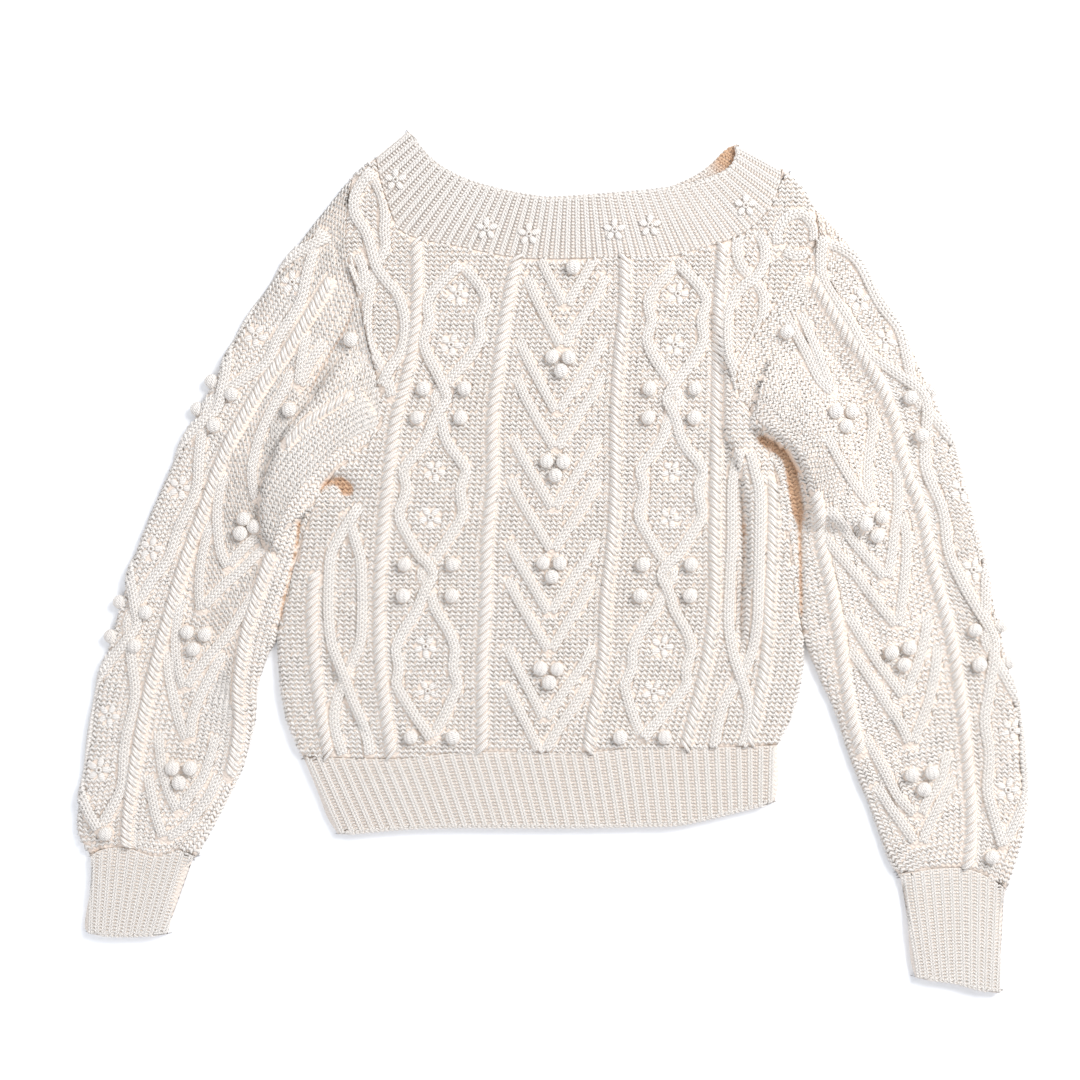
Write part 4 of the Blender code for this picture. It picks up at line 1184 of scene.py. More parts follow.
class Shell:
    """A closed sheet of cloth gathered from its faces."""

    def __init__(self) -> None:
        """Start with no points."""
        self.points: list[tuple[float, float, float]] = []
        self.faces: list[tuple[int, ...]] = []

    def sheet(self, flat: Array, heights: Array, faces: list, upward: bool) -> int:
        """Add a sheet of faces and give the place of its first point."""
        start = len(self.points)
        self.points += [(x, y, z) for (x, y), z in zip(flat, heights)]
        for face in faces:
            face = tuple(start + k for k in face)
            self.faces.append(face if upward else face[::-1])
        return start

    def lay(self, sheet: tuple, heights: Array, upward: bool, outline: Outline) -> list[list[int]]:
        """Add a sheet, its points, faces and rim, and give the places of each stretch of its rim."""
        flat, faces, rim = sheet
        start = self.sheet(flat, heights, faces, upward)
        return [[start + rim[(first + k) % len(rim)] for k in range(count + 1)]
                for _, first, count in outline.ranges]

    def row(self, flat: Array, height: float) -> list[int]:
        """Add a row of loose points at one height and give their places."""
        start = len(self.points)
        self.points += [(x, y, height) for x, y in flat]
        return list(range(start, len(self.points)))

    def band(self, first: list[int], second: list[int], closed: bool = False) -> None:
        """Join two rows of points, of the same number or not, with a strip of triangles."""
        if closed:
            first, second = first + first[:1], second + second[:1]
        i = j = 0
        while i < len(first) - 1 or j < len(second) - 1:
            ahead = (i + 1) / (len(first) - 1) if i < len(first) - 1 else 2
            other = (j + 1) / (len(second) - 1) if j < len(second) - 1 else 2
            if ahead <= other:
                face = (first[i], first[i + 1], second[j])
                i += 1
            else:
                face = (first[i], second[j + 1], second[j])
                j += 1
            if len(set(face)) == 3:
                self.faces.append(face)

    def to_object(self, name: str, finish: bpy.types.Material, slot: Slot) -> Object:
        """Make the piece, leaving out points that no face uses."""
        used = sorted({k for face in self.faces for k in face})
        renumber = {old: new for new, old in enumerate(used)}
        points = np.array([self.points[k] for k in used])
        faces = [tuple(renumber[k] for k in face) for face in self.faces]
        return to_object(name, points, faces, finish, slot, recalculated=True)


def inside_height(ground: Ground, points: Array, lowest: float) -> Array:
    """Height of the upper layer's plain inner face at each point, under the lowest cloth near it."""
    around = [(0.0, 0.0)] + [(NEARBY * math.cos(k * math.pi / 4), NEARBY * math.sin(k * math.pi / 4))
                             for k in range(8)]
    above = np.min([ground.height(points + step) for step in around], axis=0)
    return np.clip(above - WALL, lowest, INSIDE_TOP)


def underside(sheet: tuple) -> Array:
    """Heights of a sheet on the table, which arches off it but for its rim."""
    flat, _, rim = sheet
    arch = DRAPE.arch(flat)
    arch[rim] = 0
    return arch


def tube(ground: Ground, top_sheet: tuple, top_heights: Array, under: Outline, floor: Outline) -> Shell:
    """A flattened tube of cloth, open at its two seams and closed along its two folded sides.

    Args:
        ground: the outer face, with the fine outline.
        top_sheet: the upper layer's points, faces and rim.
        top_heights: their heights.
        under: the coarse outline of the inside of the upper layer.
        floor: the coarse outline of the lower layer.
    Returns:
        The shell.
    """
    outline = ground.outline
    shell = Shell()
    tops = shell.lay(top_sheet, top_heights, True, outline)
    ceiling = meshed(under.drawn_in(WALL), INSIDE_STEP)
    heights = inside_height(Ground(under, ground.side, 0.0, ground.top), ceiling[0], WALL + 0.4)
    ceilings = shell.lay(ceiling, heights, False, under)
    base = meshed(floor.drawn_in(TUCK), BASE_STEP)
    bases = shell.lay(base, underside(base), False, floor)
    lining = meshed(floor.drawn_in(WALL), LINING_STEP)
    linings = shell.lay(lining, np.full(len(lining[0]), WALL), True, floor)

    crease = {}
    turns = {}
    for number, (kind, first, count) in enumerate(outline.ranges):
        if kind != "fold":
            continue
        above = tops[number]
        # The cloth turns under in a round of two strips.
        for inset, height in TURNS:
            turned = outline.drawn_in(inset)
            turned = turned[[(first + k) % len(turned) for k in range(count + 1)]]
            below = shell.row(turned, height)
            shell.band(above, below)
            for end in (0, -1):
                turns.setdefault((number, end), []).append(below[end])
            above = below
        shell.band(above, bases[number])
        crease.update(zip(linings[number], ceilings[number]))
    for upper in crease.values():
        x, y, _ = shell.points[upper]
        shell.points[upper] = (x, y, CREASE_HEIGHT)
    shell.faces = [tuple(crease.get(k, k) for k in face) for face in shell.faces]
    for number, (kind, _, _) in enumerate(outline.ranges):
        if kind != "seam":
            continue
        above, low, inner = tops[number], bases[number], ceilings[number]
        shell.band(above, inner)
        shell.band(low, [crease.get(k, k) for k in linings[number]])
        total = len(outline.ranges)
        for end, other, far in ((0, (number - 1) % total, -1), (-1, (number + 1) % total, 0)):
            down = [above[end], *turns[other, far], low[end]]
            for high, below in zip(down, down[1:]):
                shell.faces.append((high, below, inner[end]))
    return shell


def declared(cloth: Object, outline: Outline, layers: int, flat: tuple[float, float]) -> None:
    """Work out the area of a piece of cloth, whose layers lie on each other, and do nothing more with it.

    Args:
        cloth: the piece; not used.
        outline: its laid outline.
        layers: 2 for a tube and 1 for a panel.
        flat: the width and length of the cut, in metres; not used.
    """
    area = layers * polygon_area(outline.points) * 1e-6


# --- The front and the back ---


@dataclass(frozen=True)
class Places:
    """Where single stitches lie: the places, and what a millimetre across and up is there."""

    centres: Array
    across: Array
    up: Array

    def kept(self, keep: Array) -> "Places":
        """Those that a mask keeps."""
        return Places(self.centres[keep], self.across[keep], self.up[keep])


def gathered(parts: list[tuple[Array, Array, Array]]) -> Places:
    """Places from parts of them, each its centres, across and up."""
    return Places(*(np.concatenate(values) for values in zip(*parts)))


def on_cloth(places: Places, ground: Ground, relief: Relief, past_fold: float) -> Places:
    """The places that lie on a piece, clear of its seams and raised stitches.

    Args:
        places: the places.
        ground: the piece's outer face.
        relief: its raised stitches.
        past_fold: how far round a folded side they may lie.
    Returns:
        Those that are kept.
    """
    places = places.kept(ground.holds(places.centres, past_fold, 0.9))
    return places.kept(relief.free(places.centres))


def lay_strands(work: Yarnwork, relief: Relief, pouch: Pouch) -> None:
    """Knit the strands of the cables: two wales of legs each, in V shapes that point down."""
    for strand in relief.strands:
        run = np.arange(2.0, arc_lengths(strand.line)[-1] - 1.5, COURSE)
        share = strand.profile.half_width / WALE
        wales = [(middle * share, 1.2 * share) for middle in (-2.5, 2.5)]
        work.knit(pouch.leg, strand, run, wales, (share, 1.0, 1.0))


def lay_ropes(work: Yarnwork, relief: Relief, pouch: Pouch) -> None:
    """Knit the ropes: pairs of slanted strokes that make one lozenge each."""
    for rope in relief.ropes:
        first = np.arange(3.0, arc_lengths(rope.line)[-1] - 4.0, 2 * COURSE)
        # The two strokes of a pair lie closer to each other than to the next pair.
        run = np.sort(np.concatenate([first, first + 3.2]))
        stroke = pouch.stroke if rope.slant is Slant.RIGHT else pouch.stroke.mirrored()
        share = rope.profile.half_width / ROPE.half_width
        work.follow(stroke, rope, run, np.zeros(len(run)), (share, 1.0, 1.0))


class Pullover:
    """What the pieces share: the stitches and the finishes."""

    def __init__(self) -> None:
        """Model the stitches and make the finishes."""
        self.pouch = cut_stitches()
        self.finish = Finish()

    def dress(self, name: str, ground: Ground, relief: Relief, places: Places, seed: int,
              bobbles: Array | None = None, depth: float = 1.0) -> list[Object]:
        """Lay every stitch of a cabled piece.

        Args:
            name: the piece's name.
            ground: its outer face.
            relief: its raised stitches.
            places: where its purl stitches lie.
            seed: for the hand's unevenness.
            bobbles: bobbles that hang at given heights, if any.
            depth: how full the purl stitches stand.
        Returns:
            The pieces of stitches.
        """
        pouch = self.pouch
        purl = Yarnwork(ground, seed)
        wander = purl.chance.normal(0, WANDER, places.centres.shape)
        uneven = purl.chance.normal(0.0, UNEVEN, len(places.centres))
        tilt = purl.chance.normal(0, TILT, (len(places.centres), 1))
        purl.lay(pouch.purl, places.centres + wander, places.across + tilt * places.up,
                 places.up - tilt * places.across, (1.0, 1.0, depth), uneven)
        cables = Yarnwork(ground, seed + 1)
        lay_strands(cables, relief, pouch)
        lay_ropes(cables, relief, pouch)
        knots = Yarnwork(ground, seed + 2)
        spots = np.array(relief.bobbles)
        high = ground.height(spots) + BOBBLE_HEIGHT - 0.85 * BOBBLE_RADIUS
        knots.stand(pouch.bobble, np.column_stack([spots, high]))
        if bobbles is not None:
            knots.stand(pouch.bobble, bobbles)
        flowers = Yarnwork(ground, seed + 3)
        for spot in relief.flowers:
            angle = flowers.chance.uniform(0, 1)
            across = np.array([[math.cos(angle), math.sin(angle)]])
            up = np.array([[-math.sin(angle), math.cos(angle)]])
            flowers.lay(pouch.flower, np.array([spot]), across, up, flowers.chance.uniform(0.92, 1.04))
        return [work.to_object(f"{name}_{part}", self.finish.yarn, slot) for work, part, slot in (
            (purl, "purl", Slot.PLAIN), (cables, "cables", Slot.CABLE), (knots, "bobbles", Slot.CABLE),
            (flowers, "flowers", Slot.CABLE))]


def points_of(stretch: tuple) -> Array:
    """A table's stretch as an array."""
    return np.array(stretch, float)


@dataclass(frozen=True)
class Seams:
    """The seams and folded sides that the pieces share."""

    hem: tuple = ((-224, -176), (-141, -178), (-75, -172), (32, -172), (76, -168), (134, -168), (204, -166))
    neck: tuple = ((-158, 364), (-153, 341), (-145, 316), (-135, 297), (-113, 289), (-86, 284), (-37, 274),
                   (-4, 272), (50, 273), (104, 274), (126, 279), (170, 293), (193, 313), (202, 327),
                   (209, 354))
    left_armhole: tuple = ((-179, 346), (-184, 314), (-184, 276), (-168, 210), (-156, 122), (-210, 58),
                           (-246, -60))
    right_armhole: tuple = ((238, 318), (240, 291), (227, 266), (202, 230), (166, 163), (197, 98),
                            (227, -65))
    left_shoulder: tuple = ((-158, 364), (-179, 346))
    right_shoulder: tuple = ((209, 354), (225, 337), (238, 318))
    left_side: tuple = ((-246, -60), (-245, -87), (-242, -120), (-236, -148), (-224, -176))
    right_side: tuple = ((227, -65), (226, -99), (220, -129), (212, -150), (204, -166))

    def body(self, step: float) -> Outline:
        """The outline of the front and of the back, anticlockwise from the hem's left corner."""
        stretches = (("seam", self.hem, 1), ("fold", self.right_side, -1), ("seam", self.right_armhole, -1),
                     ("fold", self.right_shoulder, -1), ("seam", self.neck, -1),
                     ("fold", self.left_shoulder, 1), ("seam", self.left_armhole, 1),
                     ("fold", self.left_side, 1))
        return Outline([(kind, smooth_line(points, step=step)[::way]) for kind, points, way in stretches])


SEAMS = Seams()


@dataclass(frozen=True)
class Body:
    """The front, with its cables, and the plain back under it."""

    columns: tuple = ("rope_0", "oblong_l", "rope_1", "rope_2", "rope_3", "rope_4", "oblong_r",
                      "rope_5")
    rows: tuple = (
        (300, -205, -162, -122, -26, 66, 156, 186, 205),
        (235, -205, -150, -121, -39, 66, 151, 172, 200),
        (181, -205, -152, -127, -47, 61, 150, 171, 200),
        (127, -205, -163, -140, -53, 58, 149, 172, 200),
        (73, -205, -176, -147, -53, 58, 148, 172, 200),
        (19, -208, -184, -152, -58, 55, 147, 172, 199),
        (-35, -215, -186, -155, -59, 49, 147, 173, 196),
        (-89, -213, -187, -154, -62, 47, 140, 169, 193),
        (-143, -206, -184, -148, -62, 37, 127, 158, 183),
        (-180, -199, -179, -143, -62, 32, 117, 149, 174),
    )
    # Heights down a diamond line, with the strands' distance from its middle: 0 where they cross.
    diamond: tuple = ((268, 0.0), (254, 14.0), (244, 22.0), (235, 26.0), (226, 25.0), (218, 22.5),
                      (209, 24.0), (201, 25.5), (191, 22.5), (182, 17.5), (170, 9.0), (157, 0.0),
                      (146, -5.0), (135, 0.0), (124, 4.5), (113, 7.5), (103, 12.5), (92, 21.5),
                      (82, 28.0), (74, 26.5), (66, 24.5), (55, 26.0), (45, 28.5), (37, 27.0),
                      (30, 23.5), (22, 18.5), (13, 13.0), (5, 7.5), (-2, 0.0), (-12, -5.0),
                      (-23, 0.0), (-33, 4.5), (-43, 8.0), (-52, 13.5), (-62, 20.0), (-72, 24.5),
                      (-80, 26.5), (-88, 25.5), (-95, 24.5), (-103, 26.0), (-110, 27.5),
                      (-120, 23.0), (-135, 15.0), (-148, 7.0), (-158, 0.0))
    # The oblong cables: two strands from the top down, and where the first passes over the second.
    oblongs: tuple = (
        (((-160, 352), (-170, 340), (-177, 326), (-176, 311), (-167, 297), (-162, 283), (-157, 265),
          (-148, 252), (-138, 240), (-132, 222), (-131, 205), (-135, 188), (-145, 173), (-153, 158)),
         ((-166, 352), (-157, 340), (-151, 326), (-149, 311), (-150, 297), (-149, 283), (-156, 267),
          (-162, 250), (-165, 232), (-166, 212), (-163, 192), (-155, 177), (-147, 163), (-143, 148)),
         ((-163, 347), (-156, 263), (-151, 170))),
        (((-184, 274), (-181, 262), (-176, 250), (-170, 240)),
         ((-176, 278), (-170, 266), (-168, 254), (-168, 244)), ()),
        (((-172, 50), (-180, 38), (-190, 22), (-198, 5), (-200, -25), (-200, -50), (-197, -75),
          (-188, -99), (-180, -122), (-172, -140), (-165, -160), (-163, -174)),
         ((-188, 44), (-181, 34), (-176, 18), (-171, 0), (-170, -25), (-170, -50), (-172, -74),
          (-182, -97), (-191, -120), (-195, -140), (-192, -160), (-187, -174)),
         ((-182, 38), (-185, -98))),
        (((205, 282), (204, 296), (212, 309), (226, 312), (236, 301), (237, 288)),
         ((207, 281), (220, 275), (233, 278)), ()),
        (((186, 298), (192, 283), (192, 269), (185, 256), (173, 247), (163, 235), (158, 218), (157, 200),
          (159, 184), (165, 170), (169, 154)),
         ((171, 298), (167, 282), (171, 266), (183, 252), (191, 239), (191, 222), (186, 207), (179, 192),
          (170, 178), (165, 160)),
         ((179, 252), (167, 174))),
        (((170, 102), (165, 80), (163, 60), (163, 20), (161, -20), (160, -55), (164, -83), (172, -108),
          (178, -130), (177, -150), (171, -170)),
         ((178, 100), (183, 80), (187, 60), (187, 20), (186, -20), (185, -55), (180, -84), (168, -108),
          (156, -127), (150, -148), (147, -168)),
         ((171, -103),)),
    )
    # The middle line of the chevrons, their tips, and an arm's points: share of the way to the rope, rise.
    axis: tuple = ((15, 280), (13, 235), (8.5, 181), (5, 127), (3, 73), (1.5, 19), (-1, -35), (-1, -89),
                   (-6, -143), (-9, -180))
    tips: tuple = (233, 196, 137, 104, 50, 12, -44, -78, -139, -171)
    arm: tuple = ((0.0, -2), (0.08, 5), (0.17, 13), (0.34, 28), (0.54, 46), (0.70, 64))
    rope_tops: dict = field(default_factory=lambda: {"rope_0": -5, "rope_5": 78})
    bobble_rows: tuple = (155, 129, -3, -31, -157)
    bobble_spread: float = 0.215
    triples: tuple = (180, 86, -5, -100)
    triple_spots: tuple = ((-7.5, 3.5), (7.5, 3.0), (0.5, -9.0))
    single_bobble: tuple = (20, 264)
    flower_rows: tuple = (241, 195, 81, 39, -77, -116)
    courses: tuple = (-175.0, 366.0)        # where its purl rows may start and end
    outer_wales: int = 14                   # past the outermost ropes
    fullness: float = 1.08          # of its purl stitches
    let_down: float = 0.1           # how far its cloth lies under the middle of the stitches
    thinnest: float = 1.35
    back_turn: tuple = (0.3, 2.2)   # how far in and how high the back's side is halfway down
    back_step: float = 14.0
    base_step: float = 8.0
    flat: tuple = (0.49, 0.55)
    seed: int = 11

    def chart(self) -> Chart:
        """The wales as plan points."""
        return Chart(self.columns, [[(x, row[0]) for x in row[1:]] for row in self.rows])

    def spot(self, chart: Chart, column: float, y: float) -> Array:
        """The plan point of a column at a height."""
        heights = chart.rows[:, 0, 1]
        return chart.at(np.interp(-y, -heights, np.arange(len(heights))), column)

    def axis_at(self, y: float) -> float:
        """Where the chevrons' middle line is at a height."""
        x, heights = points_of(self.axis).T
        return float(np.interp(-y, -heights, x))

    def relief(self) -> Relief:
        """Ropes, diamonds, oblong cables, chevrons, flowers and bobbles of the front."""
        chart = self.chart()
        relief = Relief()
        for name in self.columns:
            if name.startswith("rope"):
                line = smooth_line(chart.line(name)[::-1], step=ROPE_STEP)
                line = line[line[:, 1] < self.rope_tops.get(name, 400)]
                slant = Slant.RIGHT if int(name[-1]) < 3 else Slant.LEFT
                relief.ropes.append(Strand(line, ROPE, slant=slant))
        for left, first_over in (("rope_1", True), ("rope_3", False)):
            middle = chart.columns[left] + 0.5
            sides = [[self.spot(chart, middle, y) + (sign * aside, 0)
                      for y, aside in self.diamond] for sign in (-1, 1)]
            marks = [self.spot(chart, middle, y) for y, aside in self.diamond if aside == 0]
            relief.pair(*sides, [first_over] * len(marks), marks)
            for y in self.bobble_rows:
                relief.bobbles += [self.spot(chart, middle + aside, y)
                                   for aside in (-self.bobble_spread, self.bobble_spread)]
            relief.flowers += [self.spot(chart, middle, y) for y in self.flower_rows]
        for first, second, marks in self.oblongs:
            relief.pair(first, second, [True] * len(marks), [points_of(mark) for mark in marks])
        half_gap = chart.columns["rope_2"] + 0.5
        for tip in self.tips:
            for sign in (-1, 1):
                arm = []
                for share, rise in self.arm:
                    y = tip + rise
                    reach = 0.5 * np.ptp([self.spot(chart, half_gap + side, y)[0] for side in (-0.5, 0.5)])
                    arm.append((self.axis_at(y) + sign * (share * reach + 1.2), y))
                relief.add_arm(smooth_line(arm, step=STRAND_STEP))
        for y in self.triples:
            relief.bobbles += [points_of((self.axis_at(y), y)) + place for place in self.triple_spots]
        relief.bobbles.append(points_of(self.single_bobble))
        return relief

    def purl(self) -> Places:
        """Where the purl stitches may lie, course by course between the wales of the chart."""
        chart = self.chart()
        centres, widths = [], []
        for y in np.arange(*self.courses, COURSE):
            xs = [self.spot(chart, k, y)[0] for k in range(len(self.columns))]
            xs = [xs[0] - self.outer_wales * WALE, *xs, xs[-1] + self.outer_wales * WALE]
            for low, high in zip(xs, xs[1:]):
                count = max(1, round((high - low) / WALE))
                width = (high - low) / count
                centres += [(low + (k + 0.5) * width, y) for k in range(count)]
                widths += [width] * count
        centres = np.array(centres)
        across = np.column_stack([np.array(widths) / WALE, np.zeros(len(centres))])
        up = np.tile([0.0, 1.0], (len(centres), 1))
        return Places(centres, across, up)

    def build(self, pullover: Pullover) -> list[Object]:
        """Make the front with its stitches, and the back."""
        outline = SEAMS.body(FINE)
        coarse = SEAMS.body(COARSE)
        ground = Ground(outline, SIDE_HEIGHT, BACK_THICKNESS + SEAM_GAP)
        relief = self.relief()
        finish = pullover.finish

        shell = Shell()
        flat, faces, rim = meshed(outline.points, FINE)
        plain = ground.height(flat)
        heights = plain + UNDER_RELIEF * relief.rise(flat) - self.let_down
        heights[rim] = np.maximum(plain[rim] - self.let_down, BACK_THICKNESS + 1.0)
        top = shell.sheet(flat, heights, faces, True)
        under, under_faces, under_rim = meshed(coarse.points, INSIDE_STEP)
        above = Ground(coarse, SIDE_HEIGHT)
        depth = inside_height(above, under, BACK_THICKNESS + SEAM_GAP)
        depth = np.minimum(depth, above.height(under) - self.thinnest)
        bottom = shell.sheet(under, np.maximum(depth, BACK_THICKNESS + SEAM_GAP), under_faces, False)
        shell.band([top + k for k in rim], [bottom + k for k in under_rim], closed=True)
        front = shell.to_object("front_cloth", finish.ground, Slot.CABLE)
        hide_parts("front_panel")

        back = self.build_back(coarse, finish)
        places = on_cloth(self.purl(), ground, relief, 2.6)
        stitches = pullover.dress("front", ground, relief, places, self.seed, depth=self.fullness)
        declared(front, outline, 1, self.flat)
        return [front, back, *stitches]

    def build_back(self, outline: Outline, finish: Finish) -> Object:
        """The back: a slab on the table that arches off it along a few creases."""
        shell = Shell()
        flat, faces, rim = meshed(outline.points, self.back_step)
        top = shell.sheet(flat, np.full(len(flat), BACK_THICKNESS), faces, True)
        above = [top + k for k in rim]
        inset, height = self.back_turn
        middle = shell.row(outline.drawn_in(inset), height)
        shell.band(above, middle, closed=True)
        under = meshed(outline.drawn_in(TUCK), self.base_step)
        bottom = shell.sheet(under[0], underside(under), under[1], False)
        shell.band(middle, [bottom + k for k in under[2]], closed=True)
        back = shell.to_object("back_cloth", finish.ground, Slot.PLAIN)
        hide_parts("back_panel")
        declared(back, outline, 1, self.flat)
        return back


# --- The sleeves ---


@dataclass(frozen=True)
class Sleeve:
    """A sleeve: a flattened tube with cables, and bobbles that hang on its outer fold."""

    name: str
    rows: tuple
    bobbles: tuple
    edge_bobbles: tuple
    chevrons: tuple         # the arms, each from its tip up
    flowers: tuple
    twists: tuple
    plain: tuple            # where plain cloth is folded over the cables
    folded_rope: tuple      # the inner rope where it lies on the fold
    is_left: bool
    flat: tuple
    rope_end: float         # the cross row where the inner rope ends
    swing: float = 20.0     # half the width of a diamond
    underarm_wales: int = 27
    fullness: float = 0.85  # of its purl stitches
    seed: int = 31
    # Down one diamond, the share of its length and how far its strands are apart there.
    swell: tuple = ((0.0, -0.2), (0.07, 0.0), (0.2, 0.55), (0.33, 1.0), (0.5, 0.9), (0.67, 1.0),
                    (0.8, 0.55), (0.93, 0.0))
    columns: tuple = ("outer", "diamond", "rope_a", "chevron", "rope_b", "ground", "inner")

    def chart(self) -> Chart:
        """The wales as plan points."""
        return Chart(self.columns, self.rows)

    def outline(self, step: float, cuff_parts: int) -> Outline:
        """The laid outline, anticlockwise, with a number of parts along the cuff."""
        rows = points_of(self.rows)
        armhole = smooth_line(rows[0], step=step)
        outer = smooth_line(rows[:, 0], step=step)
        inner = smooth_line(rows[:, -1], step=step)
        cuff = smooth_line(rows[-1], cuff_parts)
        if self.is_left:
            lines = armhole[::-1], outer, cuff, inner[::-1]
        else:
            lines = armhole, inner, cuff[::-1], outer[::-1]
        return Outline(list(zip(("seam", "fold", "seam", "fold"), lines)))

    def relief(self) -> Relief:
        """Ropes, the diamonds along the outer fold, chevrons, flowers and bobbles."""
        chart = self.chart()
        relief = Relief()
        slant = Slant.LEFT if self.is_left else Slant.RIGHT
        for name, first, last in (("rope_a", 0.4, None), ("rope_b", 1.0, self.rope_end)):
            line = uncovered(smooth_line(chart.line(name, first, last)[::-1], step=ROPE_STEP), self.plain)
            relief.ropes.append(Strand(line, ROPE, slant=slant))
        if self.folded_rope:
            line = smooth_line(self.folded_rope, step=ROPE_STEP)
            relief.ropes.append(Strand(line, FOLDED_ROPE, slant=slant))
        middle = chart.line("diamond", steps=500)
        normals = normals_of(middle)
        marks = [np.argmin(np.linalg.norm(middle - twist, axis=1)) for twist in points_of(self.twists)]
        lines = ([], [])
        crossings = []
        for first, last in zip(marks, marks[1:]):
            for part, share in self.swell:
                k = round(first + (last - first) * part)
                for line, sign in zip(lines, (-1, 1)):
                    line.append(middle[k] + sign * share * self.swing * normals[k])
                if share == 0:
                    crossings.append(middle[k])
        relief.pair(*lines, [True] * len(crossings), crossings)
        for arm in self.chevrons:
            relief.add_arm(uncovered(smooth_line(arm, step=STRAND_STEP), self.plain))
        relief.bobbles += [points_of(place) for place in self.bobbles]
        if self.plain:
            covered = inside_polygon(np.array(relief.bobbles), points_of(self.plain))
            relief.bobbles = [spot for spot, under in zip(relief.bobbles, covered) if not under]
        relief.flowers += [points_of(place) for place in self.flowers]
        return relief

    def strip(self, chart: Chart, first: int, last: int, beyond: int) -> list[tuple]:
        """Purl stitches between two lines of stitches, in courses across the sleeve.

        Args:
            chart: the sleeve's chart.
            first: the column where the strip starts.
            last: the column where it ends.
            beyond: how many stitches each course has before its start, round the folded side.
        Returns:
            For each course, the places and what a millimetre across and up is there.
        """
        middle = chart.line((first + last) / 2, steps=600)
        run = arc_lengths(middle)
        rows = np.interp(np.arange(2.0, run[-1], COURSE), run, np.linspace(0, len(self.rows) - 1, 600))
        parts = []
        for row in rows:
            line = chart.course(row, first, last)
            count = max(1, round(arc_lengths(line)[-1] / WALE))
            even = resample(line, 2 * count)
            way = (even[2::2] - even[:-2:2]) / WALE
            spots = even[1::2]
            above, below = (resample(chart.course(row + step, first, last), 2 * count)[1::2]
                            for step in (-0.02, 0.02))
            climb = above - below
            climb /= np.linalg.norm(climb, axis=1)[:, None]
            for _ in range(beyond):
                spots = np.vstack([spots[:1] - way[:1] * WALE, spots])
                way = np.vstack([way[:1], way])
                climb = np.vstack([climb[:1], climb])
            parts.append((spots, way, climb))
        return parts

    def underarm(self, chart: Chart) -> list[tuple]:
        """Purl stitches between the inner rope and the folded inner side, in wales beside the rope."""
        line = smooth_line(chart.line("rope_b"), step=COURSE)
        normals = normals_of(line)
        inner = chart.line("inner")
        middle = len(line) // 2
        sign = np.sign(np.dot(inner[len(inner) // 2] - line[middle], normals[middle]))
        climb = -np.gradient(line, axis=0)
        climb /= np.linalg.norm(climb, axis=1)[:, None]
        parts = []
        for k in range(self.underarm_wales):
            spots = line + sign * (k + 0.5) * WALE * normals
            squeeze = np.linalg.norm(np.gradient(spots, axis=0), axis=1) / COURSE
            parts.append((spots, normals, climb * np.clip(squeeze, 0.5, 1.3)[:, None]))
        return parts

    def purl(self) -> Places:
        """Where the purl stitches may lie."""
        chart = self.chart()
        found = gathered(self.strip(chart, 0, 2, 2) + self.strip(chart, 2, 4, 0) + self.underarm(chart))
        turned = np.sign(found.across[:, 0] * found.up[:, 1] - found.across[:, 1] * found.up[:, 0])
        return Places(found.centres, found.across * turned[:, None], found.up)

    def build(self, pullover: Pullover) -> list[Object]:
        """Make the sleeve's cloth and its stitches."""
        outline = self.outline(FINE, 3 * CUFF_RIBS)
        coarse = self.outline(COARSE, CUFF_RIBS)
        ground = Ground(outline)
        relief = self.relief()
        flat, faces, rim = meshed(outline.points, FINE)
        plain = ground.height(flat)
        heights = plain + UNDER_RELIEF * relief.rise(flat)
        heights[rim] = plain[rim]
        shell = tube(ground, (flat, faces, rim), heights, coarse, coarse)
        cloth = shell.to_object(f"{self.name}_cloth", pullover.finish.ground, Slot.CABLE)
        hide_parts(self.name)
        places = on_cloth(self.purl(), ground, relief, 5.5)
        hanging = np.array([(x, y, EDGE_BOBBLE_HEIGHT) for x, y in self.edge_bobbles], float)
        stitches = pullover.dress(self.name, ground, relief, places, self.seed, hanging, self.fullness)
        declared(cloth, outline, 2, self.flat)
        return [cloth, *stitches]


